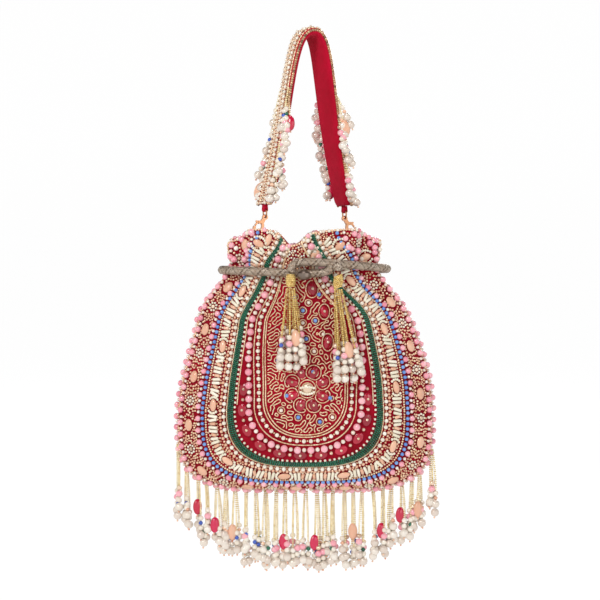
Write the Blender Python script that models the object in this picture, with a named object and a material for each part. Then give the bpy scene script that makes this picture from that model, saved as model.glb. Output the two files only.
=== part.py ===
"""Embroidered potli bag with a padded strap, a drawstring with two tassels and a beaded fringe.

Metres, +Z up. The bag hangs from the underside of its strap, which is the origin. The front faces -Y.
"""
import math

import bmesh
import bpy
from mathutils import Matrix, Vector

MM = 0.001

# The strap arch stands turned about Z, so its legs hang to the left front and the right back.
ARCH_TURN = math.radians(24)
ALONG = Vector((math.cos(ARCH_TURN), math.sin(ARCH_TURN), 0))
ACROSS = Vector((-math.sin(ARCH_TURN), math.cos(ARCH_TURN), 0))
UP = Vector((0, 0, 1))

# Pouch: (height, left half-width, right half-width), from the rim down to where the corners begin.
POUCH_SIDES = (
    (-172, 69, 69),
    (-194, 67, 66),
    (-210, 65, 64),
    (-224, 76, 73),
    (-243, 91, 88),
    (-270, 99, 100),
    (-307, 109, 111),
    (-335, 114, 114),
)
# Pouch: (height, half-depth), rim to belly.
POUCH_DEPTHS = ((-172, 37), (-194, 33), (-210, 29), (-232, 33), (-280, 38), (-320, 40))
POUCH_BOTTOM = -407
CENTRE_RISE = 88  # how far the middle of the front stays above the bottom seam
CORNER_HEIGHT = 72
SEAM_BEND = 4.3
CORNER_SHARE = 0.4  # the part of each U curve, from its bottom up, that turns the corner
RIM_Z = -177
RIM_DIP = 12
RIM_DIP_ANGLE = math.radians(-9)
RIM_DIP_SPREAD = math.radians(9)
NECK_GATHER = 0.55  # how far the cloth is drawn towards the middle of each panel at the neck
PLEATS = 10
PLEAT_SHIFT = math.radians(38)
PLEAT_DEPTH = 3.2
SHELL_THICK = 2.4
SEAM_GAP = 0.3
LINING_THICK = 0.8
LINING_GAP = 3.0
LINING_RIM = -197

# Strap: one Bezier curve for each leg, in the plane of the arch, and the band's section.
LEG_CURVE = ((0, 3.5), (18, 3.5), (15, -58), (38.8, -152))
LEG_SKEW = 4  # how far the top of the arch leans to the right
STRAP_WIDTH = 28
STRAP_THICK = 7
STRAP_TWIST = math.radians(10)

# Fittings: the two hinge lines run along the arch through the centres of the D rings.
STRAP_RING_S, STRAP_RING_Z = 39.2, -160
BAG_RING_S, BAG_RING_Z = 47.0, -179
RING_RADIUS, RING_WIRE = 3.75, 0.75
RING_BAR = 3.0  # the bar's distance from the hinge line
EYE_DROP = 3.65
CLASP_DROP = STRAP_RING_Z - EYE_DROP - BAG_RING_Z - RING_RADIUS
CLASP_LEAN = math.atan2(BAG_RING_S - STRAP_RING_S, CLASP_DROP)
CLASP_THICK = 3.2
CLAW_CENTRE = (0.2, -11.3)
CLAW_OUTER, CLAW_INNER = (4.6, 6.3), (2.6, 4.3)
GATE_PIVOT = (2.1, -6.8)
GATE_THICK = 1.6
PIN_RADIUS = 0.4
PIN_HOLE = 0.55
PIN_LENGTH = 3.0
NOSE_ANGLE = 350  # where the claw stops, short of the gate
CUT_THROUGH = 5

CORD_RADIUS = 3.8
TASSEL_TOPS = {"left": (-12.6, -45.5, -213.5), "right": (29.0, -44.5, -214.5)}
CAP_HEIGHT, CAP_RADIUS = 13, 4.6
TASSEL_STRANDS = 6
FRINGE_SECTIONS = 6
FRINGE_STRANDS = 9  # in each section
FRINGE_TOP = -348
FRINGE_LEFT, FRINGE_RIGHT, FRINGE_END = -116.5, 116.0, -484


def clear_scene():
    for old in list(bpy.data.objects):
        bpy.data.objects.remove(old, do_unlink=True)


def material(name, colour, roughness, metallic=0.0):
    found = bpy.data.materials.get(name)
    if found:
        return found
    made = bpy.data.materials.new(name)
    made.use_nodes = True
    shader = made.node_tree.nodes["Principled BSDF"]
    shader.inputs["Base Color"].default_value = (*colour, 1)
    shader.inputs["Roughness"].default_value = roughness
    shader.inputs["Metallic"].default_value = metallic
    return made


EMBROIDERY = ("embroidered_velvet", (0.45, 0.12, 0.12), 0.8)
VELVET = ("crimson_velvet", (0.30, 0.004, 0.02), 0.9)
LINING = ("crimson_lining", (0.35, 0.01, 0.04), 0.7)
GOLD_METAL = ("rose_gold", (0.78, 0.50, 0.30), 0.25, 1.0)
STEEL = ("spring_steel", (0.55, 0.55, 0.56), 0.35, 1.0)
GOLD_BEADS = ("gold_seed_beads", (0.75, 0.60, 0.33), 0.35, 0.3)
PEARLS = ("pearl_strands", (0.80, 0.76, 0.66), 0.3)
SILVER_CORD = ("silver_cord", (0.42, 0.38, 0.33), 0.5, 0.4)


def add(name, mesh, look, smooth_angle=40):
    """The mesh as a named object with its own material, shaded smooth below smooth_angle degrees."""
    made = bpy.data.objects.new(name, mesh)
    bpy.context.scene.collection.objects.link(made)
    mesh.materials.append(material(*look))
    mesh.shade_smooth()
    mesh.set_sharp_from_angle(angle=math.radians(smooth_angle))
    return made


def set_origin(made, point):
    """Moves the object's origin to point and leaves its shape where it is."""
    made.data.transform(Matrix.Translation(-point))
    made.location = point


def smooth_through(table, z, column=1):
    """A cubic through the table's points, where the first column falls and holds the height."""
    if z >= table[0][0]:
        return table[0][column]
    if z <= table[-1][0]:
        return table[-1][column]
    i = next(k for k in range(len(table) - 1) if table[k + 1][0] <= z)
    before, low, high, after = (table[max(0, min(len(table) - 1, i + k))] for k in (-1, 0, 1, 2))
    span = high[0] - low[0]
    t = (z - low[0]) / span
    slope_low = (high[column] - before[column]) / (high[0] - before[0]) * span
    slope_high = (after[column] - low[column]) / (after[0] - low[0]) * span
    return (
        (2 * t**3 - 3 * t**2 + 1) * low[column]
        + (t**3 - 2 * t**2 + t) * slope_low
        + (3 * t**2 - 2 * t**3) * high[column]
        + (t**3 - t**2) * slope_high
    )


def ramp(value, start, end):
    t = max(0.0, min(1.0, (value - start) / (end - start)))
    return t * t * (3 - 2 * t)


def rim_height(angle):
    """The rim is lower where its front and its back fold in, and waves a little with the pleats."""
    centres = (RIM_DIP_ANGLE, math.pi - RIM_DIP_ANGLE)
    dip = sum(math.exp(-(((angle - centre) / RIM_DIP_SPREAD) ** 2)) for centre in centres)
    return RIM_Z - RIM_DIP * dip + 1.5 * math.cos(PLEATS / 2 * (angle + PLEAT_SHIFT))


def round_angle(across, t, back):
    """The angle round the pouch, from the middle of its front, of a share of the way to the seam."""
    angle = math.asin(min(1.0, across))
    if t > 0:
        return math.pi - angle if back else angle
    return math.pi + angle if back else -angle


def pouch_point(w, t, back, inset=0.0, pleat=PLEAT_DEPTH, tuck=0.0, rim=None):
    """A point of the pouch, in metres. w runs from the middle of a panel, 0, to its seam, 1. t runs along
    one of the nested U curves, from -1 at the left rim, through 0 at the bottom, to 1 at the right."""
    bottom = POUCH_BOTTOM + inset + CENTRE_RISE * (1 - w) ** 1.5
    corner = bottom + CORNER_HEIGHT * (0.3 + 0.7 * w)
    side = 1 if t < 0 else 2
    share = abs(t)
    bend = 2.1 + 2.2 * w * w
    if share < CORNER_SHARE:
        turn = math.pi / 2 * (1 - share / CORNER_SHARE)
        z = corner - (corner - bottom) * math.sin(turn) ** (2 / bend)
        narrow = max(math.cos(turn), 0.0) ** (2 / bend)
    else:
        z = corner
        narrow = 1.0
    if share >= CORNER_SHARE:
        top = rim_height(round_angle(w ** (1 + NECK_GATHER), t, back)) if rim is None else rim
        z = corner + (top - corner) * (share - CORNER_SHARE) / (1 - CORNER_SHARE)
    across = w ** (1 + NECK_GATHER * ramp(z, -258, -212))
    angle = math.asin(min(1.0, across))
    half = smooth_through(POUCH_SIDES, z, side) - inset
    depth = smooth_through(POUCH_DEPTHS, z) - inset
    power = 0.5 + 0.12 * ramp(-z, 215, 260)
    x = half * across * narrow
    y = depth * max(0.0, 1 - across * across) ** power
    around = round_angle(across, t, back)
    fold = (pleat * math.cos(PLEATS * (around + PLEAT_SHIFT)) - tuck) * ramp(z, -256, -205)
    x += fold * math.sin(angle)
    y += fold * math.cos(angle)
    return Vector((x if t > 0 else -x, y if back else -y, z)) * MM


def pouch_skin(bm, rows, sides, corners, flip, **how):
    """One closed-round skin of the pouch, open at the rim. Returns the rim's vertices in order."""
    steps = [-1 + (1 - CORNER_SHARE) * k / sides for k in range(sides)]
    steps += [CORNER_SHARE * (k / corners - 1) for k in range(corners)]
    steps += [0.0] + [-s for s in reversed(steps)]
    rims = []
    for back in (False, True):
        grid = [
            [
                bm.verts.new(pouch_point(math.sin(math.pi / 2 * r / rows), t, back, **how))
                for t in steps
            ]
            for r in range(rows + 1)
        ]
        for r in range(rows):
            for c in range(len(steps) - 1):
                quad = [grid[r][c], grid[r][c + 1], grid[r + 1][c + 1], grid[r + 1][c]]
                bm.faces.new(quad if back == flip else quad[::-1])
        left = [grid[r][0] for r in range(rows + 1)]
        right = [grid[r][-1] for r in range(rows + 1)]
        rims.append(left[::-1] + right[1:])
    return rims[0] + rims[1][::-1][1:-1]


def pouch_body(name, look, rows, sides, corners, outer, inner):
    """A pouch with an outer and an inner skin joined at the rim."""
    bm = bmesh.new()
    outside = pouch_skin(bm, rows, sides, corners, False, **outer)
    inside = pouch_skin(bm, rows, sides, corners, True, **inner)
    for k in range(len(outside)):
        n = (k + 1) % len(outside)
        bm.faces.new((outside[k], outside[n], inside[n], inside[k]))
    bmesh.ops.remove_doubles(bm, verts=bm.verts, dist=1e-7)
    bmesh.ops.dissolve_degenerate(bm, edges=bm.edges, dist=1e-7)
    bmesh.ops.recalc_face_normals(bm, faces=bm.faces)
    return finish(bm, name, look, 60)


def other_half(name, side):
    """A block over the half of the pouch that belongs to the other panel, and over the seam's gap."""
    reach = 2 * POUCH_SIDES[-1][1] * MM
    near = -side * SEAM_GAP / 2 * MM
    bm = bmesh.new()
    bmesh.ops.create_cube(bm, size=1)
    bmesh.ops.scale(bm, vec=(2 * reach, reach, 5 * reach), verts=bm.verts)
    bmesh.ops.translate(bm, vec=(0, near + side * reach / 2, 0), verts=bm.verts)
    return helper(bm, name + "_other_half")


def finish(bm, name, look, smooth_angle=40):
    mesh = bpy.data.meshes.new(name)
    bm.to_mesh(mesh)
    bm.free()
    return add(name, mesh, look, smooth_angle)


def loft(rings, closed=False):
    """A bmesh through rings of equal length, with flat ends unless it closes on itself."""
    bm = bmesh.new()
    made = [[bm.verts.new(p) for p in ring] for ring in rings]
    pairs = list(zip(made, made[1:] + made[:1])) if closed else list(zip(made, made[1:]))
    for a, b in pairs:
        for k in range(len(a)):
            n = (k + 1) % len(a)
            bm.faces.new((a[k], a[n], b[n], b[k]))
    if not closed:
        bm.faces.new(made[0][::-1])
        bm.faces.new(made[-1])
    bmesh.ops.recalc_face_normals(bm, faces=bm.faces)
    return bm


def tube_rings(points, radii, sides, closed=False):
    """Rings of the given radii round a path. The path keeps clear of the reference direction."""
    rings = []
    count = len(points)
    for k, point in enumerate(points):
        after = points[(k + 1) % count] if closed or k + 1 < count else point
        before = points[k - 1] if closed or k else point
        tangent = (after - before).normalized()
        first = tangent.cross(ACROSS if abs(tangent.dot(ACROSS)) < 0.9 else ALONG).normalized()
        second = tangent.cross(first)
        rings.append(
            [
                point + radii[k] * (first * math.cos(a) + second * math.sin(a))
                for a in (2 * math.pi * i / sides for i in range(sides))
            ]
        )
    return rings


def turned(name, look, top, profile, sides, tilt=None):
    """A solid of revolution about an axis that runs down from top: profile is (drop, radius) in mm."""
    down = tilt or Vector((0, 0, -1))
    points = [top + down * d * MM for d, _ in profile]
    return finish(loft(tube_rings(points, [r * MM for _, r in profile], sides)), name, look)


def prism(outline, thick, place):
    """The outline, (along, up) in mm, as a plate of this thickness centred on the arch's plane."""
    bm = bmesh.new()
    for half in (-thick / 2, thick / 2):
        ring = [bm.verts.new(place @ Vector((p * MM, half * MM, q * MM))) for p, q in outline]
        bm.faces.new(ring)
    bm.verts.ensure_lookup_table()
    n = len(outline)
    for k in range(n):
        m = (k + 1) % n
        bm.faces.new((bm.verts[k], bm.verts[m], bm.verts[n + m], bm.verts[n + k]))
    bmesh.ops.recalc_face_normals(bm, faces=bm.faces)
    return bm


def arc(centre, radii, start, end, steps):
    """Points of an elliptical arc, from start to end degrees."""
    return [
        (
            centre[0] + radii[0] * math.cos(math.radians(start + (end - start) * k / steps)),
            centre[1] + radii[1] * math.sin(math.radians(start + (end - start) * k / steps)),
        )
        for k in range(steps + 1)
    ]


def helper(bm, name):
    """A cutter or a shape to be joined: it is not part of the bag."""
    mesh = bpy.data.meshes.new(name)
    bm.to_mesh(mesh)
    bm.free()
    made = bpy.data.objects.new(name, mesh)
    bpy.context.scene.collection.objects.link(made)
    made.hide_render = True
    made.display_type = "WIRE"
    return made


def boolean(target, other, operation):
    cut = target.modifiers.new(other.name, "BOOLEAN")
    cut.operation = operation
    cut.solver = "EXACT"
    cut.object = other


def arch_frame(s, z, lean=0.0, side=1):
    """Local axes: X along the arch and outward on this side, Y across the arch, Z up, leaned outward."""
    out = ALONG * side
    local_up = (UP * math.cos(lean) - out * math.sin(lean)).normalized()
    local_out = (out * math.cos(lean) + UP * math.sin(lean)).normalized()
    origin = (ALONG * s * side + UP * z) * MM
    axes = Matrix((local_out, ACROSS, local_up)).transposed().to_4x4()
    return Matrix.Translation(origin) @ axes


def leg_point(share):
    """(s, z) of the strap's middle: share runs from -1 at the left end, 0 at the top, to 1."""
    t = abs(share)
    a, b, c, d = (1 - t) ** 3, 3 * (1 - t) ** 2 * t, 3 * (1 - t) * t * t, t**3
    s, z = (a * p + b * q + c * r + d * e for p, q, r, e in zip(*LEG_CURVE))
    return math.copysign(s, share) + LEG_SKEW * (1 - t), z


def strap_frame(share):
    """The middle of the strap, its width direction and its outward direction there."""
    s, z = leg_point(share)
    s2, z2 = leg_point(min(1.0, share + 0.01))
    s1, z1 = leg_point(max(-1.0, share - 0.01))
    tangent = (ALONG * (s2 - s1) + UP * (z2 - z1)).normalized()
    twist = STRAP_TWIST * math.sin(math.pi * share)
    wide = (Matrix.Rotation(twist, 3, "Z") @ ACROSS).normalized()
    outward = tangent.cross(wide).normalized()
    outward = -outward if outward.dot(ALONG * s + UP * 20) < 0 else outward
    wide = outward.cross(tangent).normalized()
    return (ALONG * s + UP * z) * MM, wide, outward


def strap_band():
    """The padded velvet band: a flat oval section swept over the arch, rounded off at its ends."""
    steps = 30
    rings = []
    for k in range(steps + 1):
        middle, wide, outward = strap_frame(-1 + 2 * k / steps)
        near_end = min(k, steps - k)
        size = (0.86, 1.0)[near_end > 0]
        ring = []
        for i in range(12):
            a = 2 * math.pi * (i + 0.5) / 12
            u = math.copysign(abs(math.cos(a)) ** 0.45, math.cos(a))
            v = math.copysign(abs(math.sin(a)) ** 0.7, math.sin(a))
            ring.append(
                middle
                + wide * u * STRAP_WIDTH / 2 * size * MM
                + outward * v * STRAP_THICK / 2 * size * MM
            )
        rings.append(ring)
    finish(loft(rings), "strap_band", VELVET)


def d_ring(name, s, z, side, bar_up):
    """A D ring of round wire across the arch: a half circle round the hinge line, and a bar."""
    flat = RING_BAR * bar_up
    outline = arc((0, 0), (RING_RADIUS, -RING_RADIUS * bar_up), 0, 180, 10)
    outline += [(-RING_RADIUS, flat * 0.6), (-RING_RADIUS * 0.78, flat), (0, flat)]
    outline += [(RING_RADIUS * 0.78, flat), (RING_RADIUS, flat * 0.6)]
    origin = (ALONG * s * side + UP * z) * MM
    points = [origin + (ACROSS * p + UP * q) * MM for p, q in outline]
    rings = []
    for k, point in enumerate(points):
        tangent = (points[(k + 1) % len(points)] - points[k - 1]).normalized()
        second = tangent.cross(ALONG)
        rings.append(
            [
                point + RING_WIRE * MM * (ALONG * math.cos(a) + second * math.sin(a))
                for a in (2 * math.pi * i / 8 for i in range(8))
            ]
        )
    made = finish(loft(rings, closed=True), name, GOLD_METAL)
    set_origin(made, origin)


def ring_tab(name, s, z, side, rises, length, look):
    """A folded fabric loop round the bar of a D ring. rises is 1 where the tab goes up from the bar."""
    place = arch_frame(s, z, 0, side)
    bar = RING_BAR * rises
    end = bar + rises * length
    outline = arc((0, bar), (2.0, 2.0 * rises), 180, 360, 8) + [(1.6, end), (-1.6, end)]
    made = finish(prism(outline, 5.4, place), name, look)
    hole = helper(prism(arc((0, bar), (1.05, 1.05), 0, 330, 11), 8, place), name + "_cutter")
    boolean(made, hole, "DIFFERENCE")


def disc(centre, radius, steps):
    """The outline of a round part of a clasp."""
    return arc(centre, (radius, radius), 0, 360 - 360 / (steps + 1), steps)


def clasp(name, side):
    """A lobster clasp: an eye on the strap's ring, a claw through the bag's ring and a sprung gate."""
    place = arch_frame(STRAP_RING_S, STRAP_RING_Z - EYE_DROP, 0, side)
    place = place @ Matrix.Rotation(-CLASP_LEAN, 4, "Y")

    def piece(outline, thick, label):
        return helper(prism(outline, thick, place), f"{name}_{label}")

    claw = arc(CLAW_CENTRE, CLAW_OUTER, 50, NOSE_ANGLE, 24)
    claw += arc(CLAW_CENTRE, CLAW_INNER, NOSE_ANGLE, 50, 20)
    body = finish(prism(claw, CLASP_THICK, place), "clasp_body_" + name, GOLD_METAL)
    neck = [(-1.5, -1.2), (1.5, -1.2), (1.7, -6.4), (-1.9, -6.4)]
    boolean(body, piece(neck, CLASP_THICK - 0.4, "neck"), "UNION")
    boolean(body, piece(disc(GATE_PIVOT, 1.5, 11), CLASP_THICK - 0.2, "knuckle"), "UNION")
    boolean(body, piece(disc((0, 0), 2.5, 23), CLASP_THICK - 0.6, "eye"), "UNION")
    boolean(body, piece(disc((0, 0), 1.3, 11), CUT_THROUGH, "eye_hole"), "DIFFERENCE")
    slot = [(-0.4, -4.9), (-0.4, -6.6), (0.6, -8.2), (0.9, -9.6), (6, -9.6), (6, -5.4), (2.9, -4.9)]
    boolean(body, piece(slot, GATE_THICK + 0.4, "fork"), "DIFFERENCE")
    boolean(body, piece(disc(GATE_PIVOT, PIN_HOLE, 5), CUT_THROUGH, "pin_hole"), "DIFFERENCE")

    gate_arc = arc(CLAW_CENTRE, (4.3, 6.0), 44, 0, 8) + arc(CLAW_CENTRE, (2.9, 4.6), -4, 44, 8)
    gate = finish(prism(gate_arc, GATE_THICK, place), "clasp_gate_" + name, GOLD_METAL)
    boolean(gate, piece(disc(GATE_PIVOT, 1.15, 11), GATE_THICK - 0.2, "root"), "UNION")
    lever = [(3.6, -7.4), (4.4, -6.6), (5.6, -7.2), (5.2, -8.4), (4.0, -8.8)]
    boolean(gate, piece(lever, GATE_THICK - 0.1, "lever"), "UNION")
    boolean(gate, piece(disc(GATE_PIVOT, PIN_HOLE, 5), CUT_THROUGH, "gate_hole"), "DIFFERENCE")
    set_origin(gate, place @ Vector((GATE_PIVOT[0] * MM, 0, GATE_PIVOT[1] * MM)))

    pin = prism(disc(GATE_PIVOT, PIN_RADIUS, 5), PIN_LENGTH, place)
    finish(pin, "gate_pin_" + name, GOLD_METAL)
    leaf = [(-0.1, -5.1), (1.9, -5.1), (1.9, -5.4), (-0.1, -5.4)]
    finish(prism(leaf, GATE_THICK - 0.2, place), "gate_spring_" + name, STEEL)


def bead_profile(length, big=3.6):
    """(drop, radius) of a string of small beads that ends in a cluster of larger ones."""
    drop = length - 17
    return [
        (0, 0.9),
        (drop, 1.0),
        (drop + 2.5, 2.4),
        (drop + 5.2, 1.4),
        (drop + 8.5, big),
        (drop + 13.5, big),
        (drop + 16.2, 1.0),
        (length, 0.6),
    ]


def strap_strands():
    """Short strings of beads that hang beside both edges of both legs."""
    number = 0
    for side in (-1, 1):
        for edge in (-1, 1):
            for share, length in ((0.64, 32), (0.78, 36), (0.90, 32)):
                number += 1
                middle, wide, _ = strap_frame(side * share)
                wide = wide if wide.dot(ACROSS) > 0 else -wide
                top = middle + wide * edge * (STRAP_WIDTH / 2 + 4.4) * MM
                turned(f"strap_strand_{number:02d}", PEARLS, top, bead_profile(length), 6)


def smooth_route(points, count):
    """Evenly spaced points of a smooth curve through hand-set points."""
    guide = bpy.data.curves.new("route", "CURVE")
    spline = guide.splines.new("BEZIER")
    spline.bezier_points.add(len(points) - 1)
    for bead, p in zip(spline.bezier_points, points):
        bead.co = p
        bead.handle_left_type = bead.handle_right_type = "AUTO"
    made = bpy.data.objects.new("route", guide)
    guide.resolution_u = 16
    dense = [v.co.copy() for v in made.to_mesh().vertices]
    made.to_mesh_clear()
    bpy.data.objects.remove(made)
    lengths = [0.0]
    for a, b in zip(dense, dense[1:]):
        lengths.append(lengths[-1] + (b - a).length)
    placed = []
    k = 0
    for i in range(count):
        want = lengths[-1] * i / (count - 1)
        while k < len(dense) - 2 and lengths[k + 1] < want:
            k += 1
        t = (want - lengths[k]) / max(lengths[k + 1] - lengths[k], 1e-9)
        placed.append(dense[k].lerp(dense[k + 1], t))
    return placed


DRAWSTRING_ROUTE = (
    (-12.6, -45.5, -212.6),
    (-11.0, -46.0, -207.5),
    (-3.0, -44.5, -204.5),
    (10.0, -41.5, -204.5),
    (28.0, -38.0, -205.5),
    (52.0, -29.0, -207.5),
    (70.0, -13.0, -209.0),
    (73.5, 3.0, -209.5),
    (66.0, 20.0, -209.5),
    (44.0, 33.0, -209.5),
    (15.0, 39.5, -209.5),
    (-15.0, 39.5, -209.5),
    (-44.0, 33.5, -209.5),
    (-66.0, 20.5, -210.0),
    (-74.5, 3.0, -210.5),
    (-70.0, -14.0, -211.0),
    (-51.0, -29.5, -212.0),
    (-28.0, -37.5, -213.0),
    (-10.0, -37.0, -214.0),
    (8.0, -38.0, -214.0),
    (20.0, -41.5, -212.0),
    (26.0, -44.5, -207.0),
    (29.0, -44.8, -208.0),
    (29.0, -44.5, -211.6),
)


def cord(name, look, route, radius, points):
    curve = bpy.data.curves.new(name, "CURVE")
    curve.dimensions = "3D"
    spline = curve.splines.new("POLY")
    placed = smooth_route([Vector(p) * MM for p in route], points)
    spline.points.add(len(placed) - 1)
    for node, p in zip(spline.points, placed):
        node.co = (*p, 1)
    curve.bevel_depth = radius * MM
    curve.bevel_resolution = 2
    curve.use_fill_caps = True
    made = bpy.data.objects.new(name, curve)
    bpy.context.scene.collection.objects.link(made)
    curve.materials.append(material(*look))
    return made


def cap_profile():
    """(drop, radius) of a cap: a dome round the point it swings about, then a short sleeve."""
    dome = [math.radians(a) for a in (12, 35, 60)]
    top = [(CAP_RADIUS * (1 - math.cos(a)), CAP_RADIUS * math.sin(a)) for a in dome]
    return top + [(CAP_RADIUS, CAP_RADIUS), (CAP_HEIGHT - 2, CAP_RADIUS), (CAP_HEIGHT, 3.8)]


def tassels():
    """A bead-wrapped cap on each end of the drawstring, and a bunch of bead strings under it."""
    slants = {"left": (0.0, -0.03), "right": (0.12, -0.05)}
    lengths = {"left": 84, "right": 90}
    for side, top in TASSEL_TOPS.items():
        start = Vector(top) * MM
        made = turned("tassel_cap_" + side, GOLD_BEADS, start, cap_profile(), 12)
        set_origin(made, start - UP * CAP_RADIUS * MM)
        for k in range(TASSEL_STRANDS):
            column, layer = k % 3 - 1, k // 3
            foot = start + Vector((column * 2.6, layer * 2.9 - 1.45, -CAP_HEIGHT - 0.7)) * MM
            lean = Vector((slants[side][0] + column * 0.085, slants[side][1] - 0.085 + layer * 0.085, -1))
            length = lengths[side] - CAP_HEIGHT - 5 * ((k * 2) % 3)
            turned(
                f"tassel_{side}_strand_{k + 1}",
                PEARLS,
                foot,
                bead_profile(length, 3.4),
                6,
                lean.normalized(),
            )


def edge_height(x, outside):
    """Height at x of a line that runs this far outside the pouch's bottom seam, in mm."""
    half = POUCH_SIDES[-1][1 if x < 0 else 2] + outside
    drop = CORNER_HEIGHT + outside
    share = min(1.0, abs(x) / half)
    return POUCH_BOTTOM + CORNER_HEIGHT - drop * (1 - share**SEAM_BEND) ** (1 / SEAM_BEND)


def fringe():
    """Strings of beads on a tape below the seam, in sections: each is one flat comb."""
    total = FRINGE_SECTIONS * FRINGE_STRANDS
    pitch = (FRINGE_RIGHT - FRINGE_LEFT) / (total - 1)
    for section in range(FRINGE_SECTIONS):
        first = FRINGE_LEFT + pitch * section * FRINGE_STRANDS
        xs = [first + pitch * k for k in range(FRINGE_STRANDS)]
        low, high = xs[0] - pitch * 0.38, xs[-1] + pitch * 0.38
        edge = [low + (high - low) * k / 16 for k in range(17)]
        outline = [(x, min(FRINGE_TOP, edge_height(x, 1.6))) for x in edge]
        for k, x in reversed(list(enumerate(xs))):
            number = section * FRINGE_STRANDS + k
            inner = x + 1.4 if x < 0 else x - 1.4
            start = min(FRINGE_TOP, edge_height(inner, 1.6)) - 3.5
            end = FRINGE_END * (1 - 0.10 * abs(x / 116) ** 3) + 3.5 * ((number * 5) % 3)
            right = [(1.3, start), (1.3, end + 17), (1.9, end + 9), (1.6, end + 1)]
            outline += [(x + p, q) for p, q in right] + [(x, end)]
            outline += [(x - p, q) for p, q in reversed(right)]
        bm = bmesh.new()
        front = [bm.verts.new(Vector((x, -3.2, z)) * MM) for x, z in outline]
        rear = [bm.verts.new(Vector((x, 3.2, z)) * MM) for x, z in outline]
        bm.faces.new(front)
        bm.faces.new(rear[::-1])
        for k in range(len(outline)):
            m = (k + 1) % len(outline)
            bm.faces.new((front[k], front[m], rear[m], rear[k]))
        bmesh.ops.recalc_face_normals(bm, faces=bm.faces)
        finish(bm, f"fringe_section_{section + 1}", GOLD_BEADS, 30)


def knot():
    """The rounded bead that the two ends of the drawstring pass behind."""
    bead = [(0, 1.5), (0.8, 4.2), (2.4, 6.0), (5.4, 6.2), (7.4, 4.6), (8.4, 2.0)]
    turned("drawstring_bead", SILVER_CORD, Vector((-1, -49.3, -211.8)) * MM, bead, 14)


def main():
    clear_scene()
    shell_out = {"inset": 0.0}
    shell_in = {"inset": SHELL_THICK}
    for name, side in (("pouch_front", 1), ("pouch_back", -1)):
        panel = pouch_body(name, EMBROIDERY, 12, 11, 6, shell_out, shell_in)
        boolean(panel, other_half(name, side), "DIFFERENCE")
    gap = SHELL_THICK + LINING_GAP
    lining_out = {"inset": gap, "pleat": 0.0, "tuck": PLEAT_DEPTH, "rim": LINING_RIM}
    lining_in = {**lining_out, "inset": gap + LINING_THICK}
    pouch_body("pouch_lining", LINING, 7, 7, 5, lining_out, lining_in)
    strap_band()
    strap_strands()
    for name, side in (("left", -1), ("right", 1)):
        d_ring("strap_ring_" + name, STRAP_RING_S, STRAP_RING_Z, side, 1)
        d_ring("bag_ring_" + name, BAG_RING_S, BAG_RING_Z, side, -1)
        ring_tab("strap_tab_" + name, STRAP_RING_S, STRAP_RING_Z, side, 1, 4.6, VELVET)
        ring_tab("bag_tab_" + name, BAG_RING_S, BAG_RING_Z, side, -1, 14.0, VELVET)
        clasp(name, side)
    cord("drawstring", SILVER_CORD, DRAWSTRING_ROUTE, CORD_RADIUS, 64)
    knot()
    tassels()
    fringe()


main()
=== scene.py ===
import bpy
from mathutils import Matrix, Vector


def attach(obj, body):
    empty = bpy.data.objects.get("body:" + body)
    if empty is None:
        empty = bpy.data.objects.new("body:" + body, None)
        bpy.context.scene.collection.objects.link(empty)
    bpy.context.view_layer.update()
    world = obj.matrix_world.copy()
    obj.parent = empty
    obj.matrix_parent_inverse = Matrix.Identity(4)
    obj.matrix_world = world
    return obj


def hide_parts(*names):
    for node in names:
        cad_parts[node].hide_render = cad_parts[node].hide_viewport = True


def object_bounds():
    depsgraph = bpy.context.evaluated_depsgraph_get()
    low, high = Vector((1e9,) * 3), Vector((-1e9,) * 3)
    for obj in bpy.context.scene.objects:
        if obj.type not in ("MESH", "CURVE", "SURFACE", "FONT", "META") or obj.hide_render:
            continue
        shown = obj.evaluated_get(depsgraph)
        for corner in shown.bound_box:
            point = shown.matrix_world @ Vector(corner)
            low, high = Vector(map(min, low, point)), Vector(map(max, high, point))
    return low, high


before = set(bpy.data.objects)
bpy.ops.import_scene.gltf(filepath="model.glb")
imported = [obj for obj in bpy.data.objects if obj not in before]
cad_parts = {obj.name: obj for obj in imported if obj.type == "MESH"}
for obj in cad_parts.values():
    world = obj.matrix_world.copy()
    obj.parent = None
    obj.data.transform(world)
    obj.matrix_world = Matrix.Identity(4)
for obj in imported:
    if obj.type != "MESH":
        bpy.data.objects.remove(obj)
CAD_BOX = [list(corner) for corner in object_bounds()]

import math

import bmesh
import bpy
import numpy as np
from mathutils import Vector, kdtree

MM = 0.001
rng = np.random.default_rng(11)

# ---------------------------------------------------------------- the pouch's form
ARCH_TURN = math.radians(24)
ALONG = np.array((math.cos(ARCH_TURN), math.sin(ARCH_TURN), 0.0))
ACROSS = np.array((-math.sin(ARCH_TURN), math.cos(ARCH_TURN), 0.0))
UP = np.array((0.0, 0.0, 1.0))
POUCH_SIDES = (
    (-172, 69, 69),
    (-194, 67, 66),
    (-210, 65, 64),
    (-224, 76, 73),
    (-243, 91, 88),
    (-270, 99, 100),
    (-307, 109, 111),
    (-335, 114, 114),
)
POUCH_DEPTHS = ((-172, 37), (-194, 33), (-210, 29), (-232, 33), (-280, 38), (-320, 40))
POUCH_BOTTOM = -407
CENTRE_RISE = 88
CORNER_HEIGHT = 72
SEAM_BEND = 4.3
RIM_Z, RIM_DIP, RIM_DIP_ANGLE, RIM_DIP_SPREAD = -177, 12, math.radians(-9), math.radians(9)
RIM_FALL = 9  # how much lower the rim is at the side seams
NECK_GATHER = 0.55
SEWN_GATHER, SEWN_LEAN = 1.5, 0.11  # how much more the embroidery closes up at the neck, and leans left
PLEATS, PLEAT_SHIFT, PLEAT_DEPTH = 10, math.radians(38), 3.2
SHELL_THICK, LINING_THICK, LINING_GAP, LINING_RIM = 2.4, 0.8, 3.0, -197
LEG_CURVE = ((0, 3.5), (18, 3.5), (15, -58), (38.8, -152))
LEG_SKEW = 4
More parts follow.
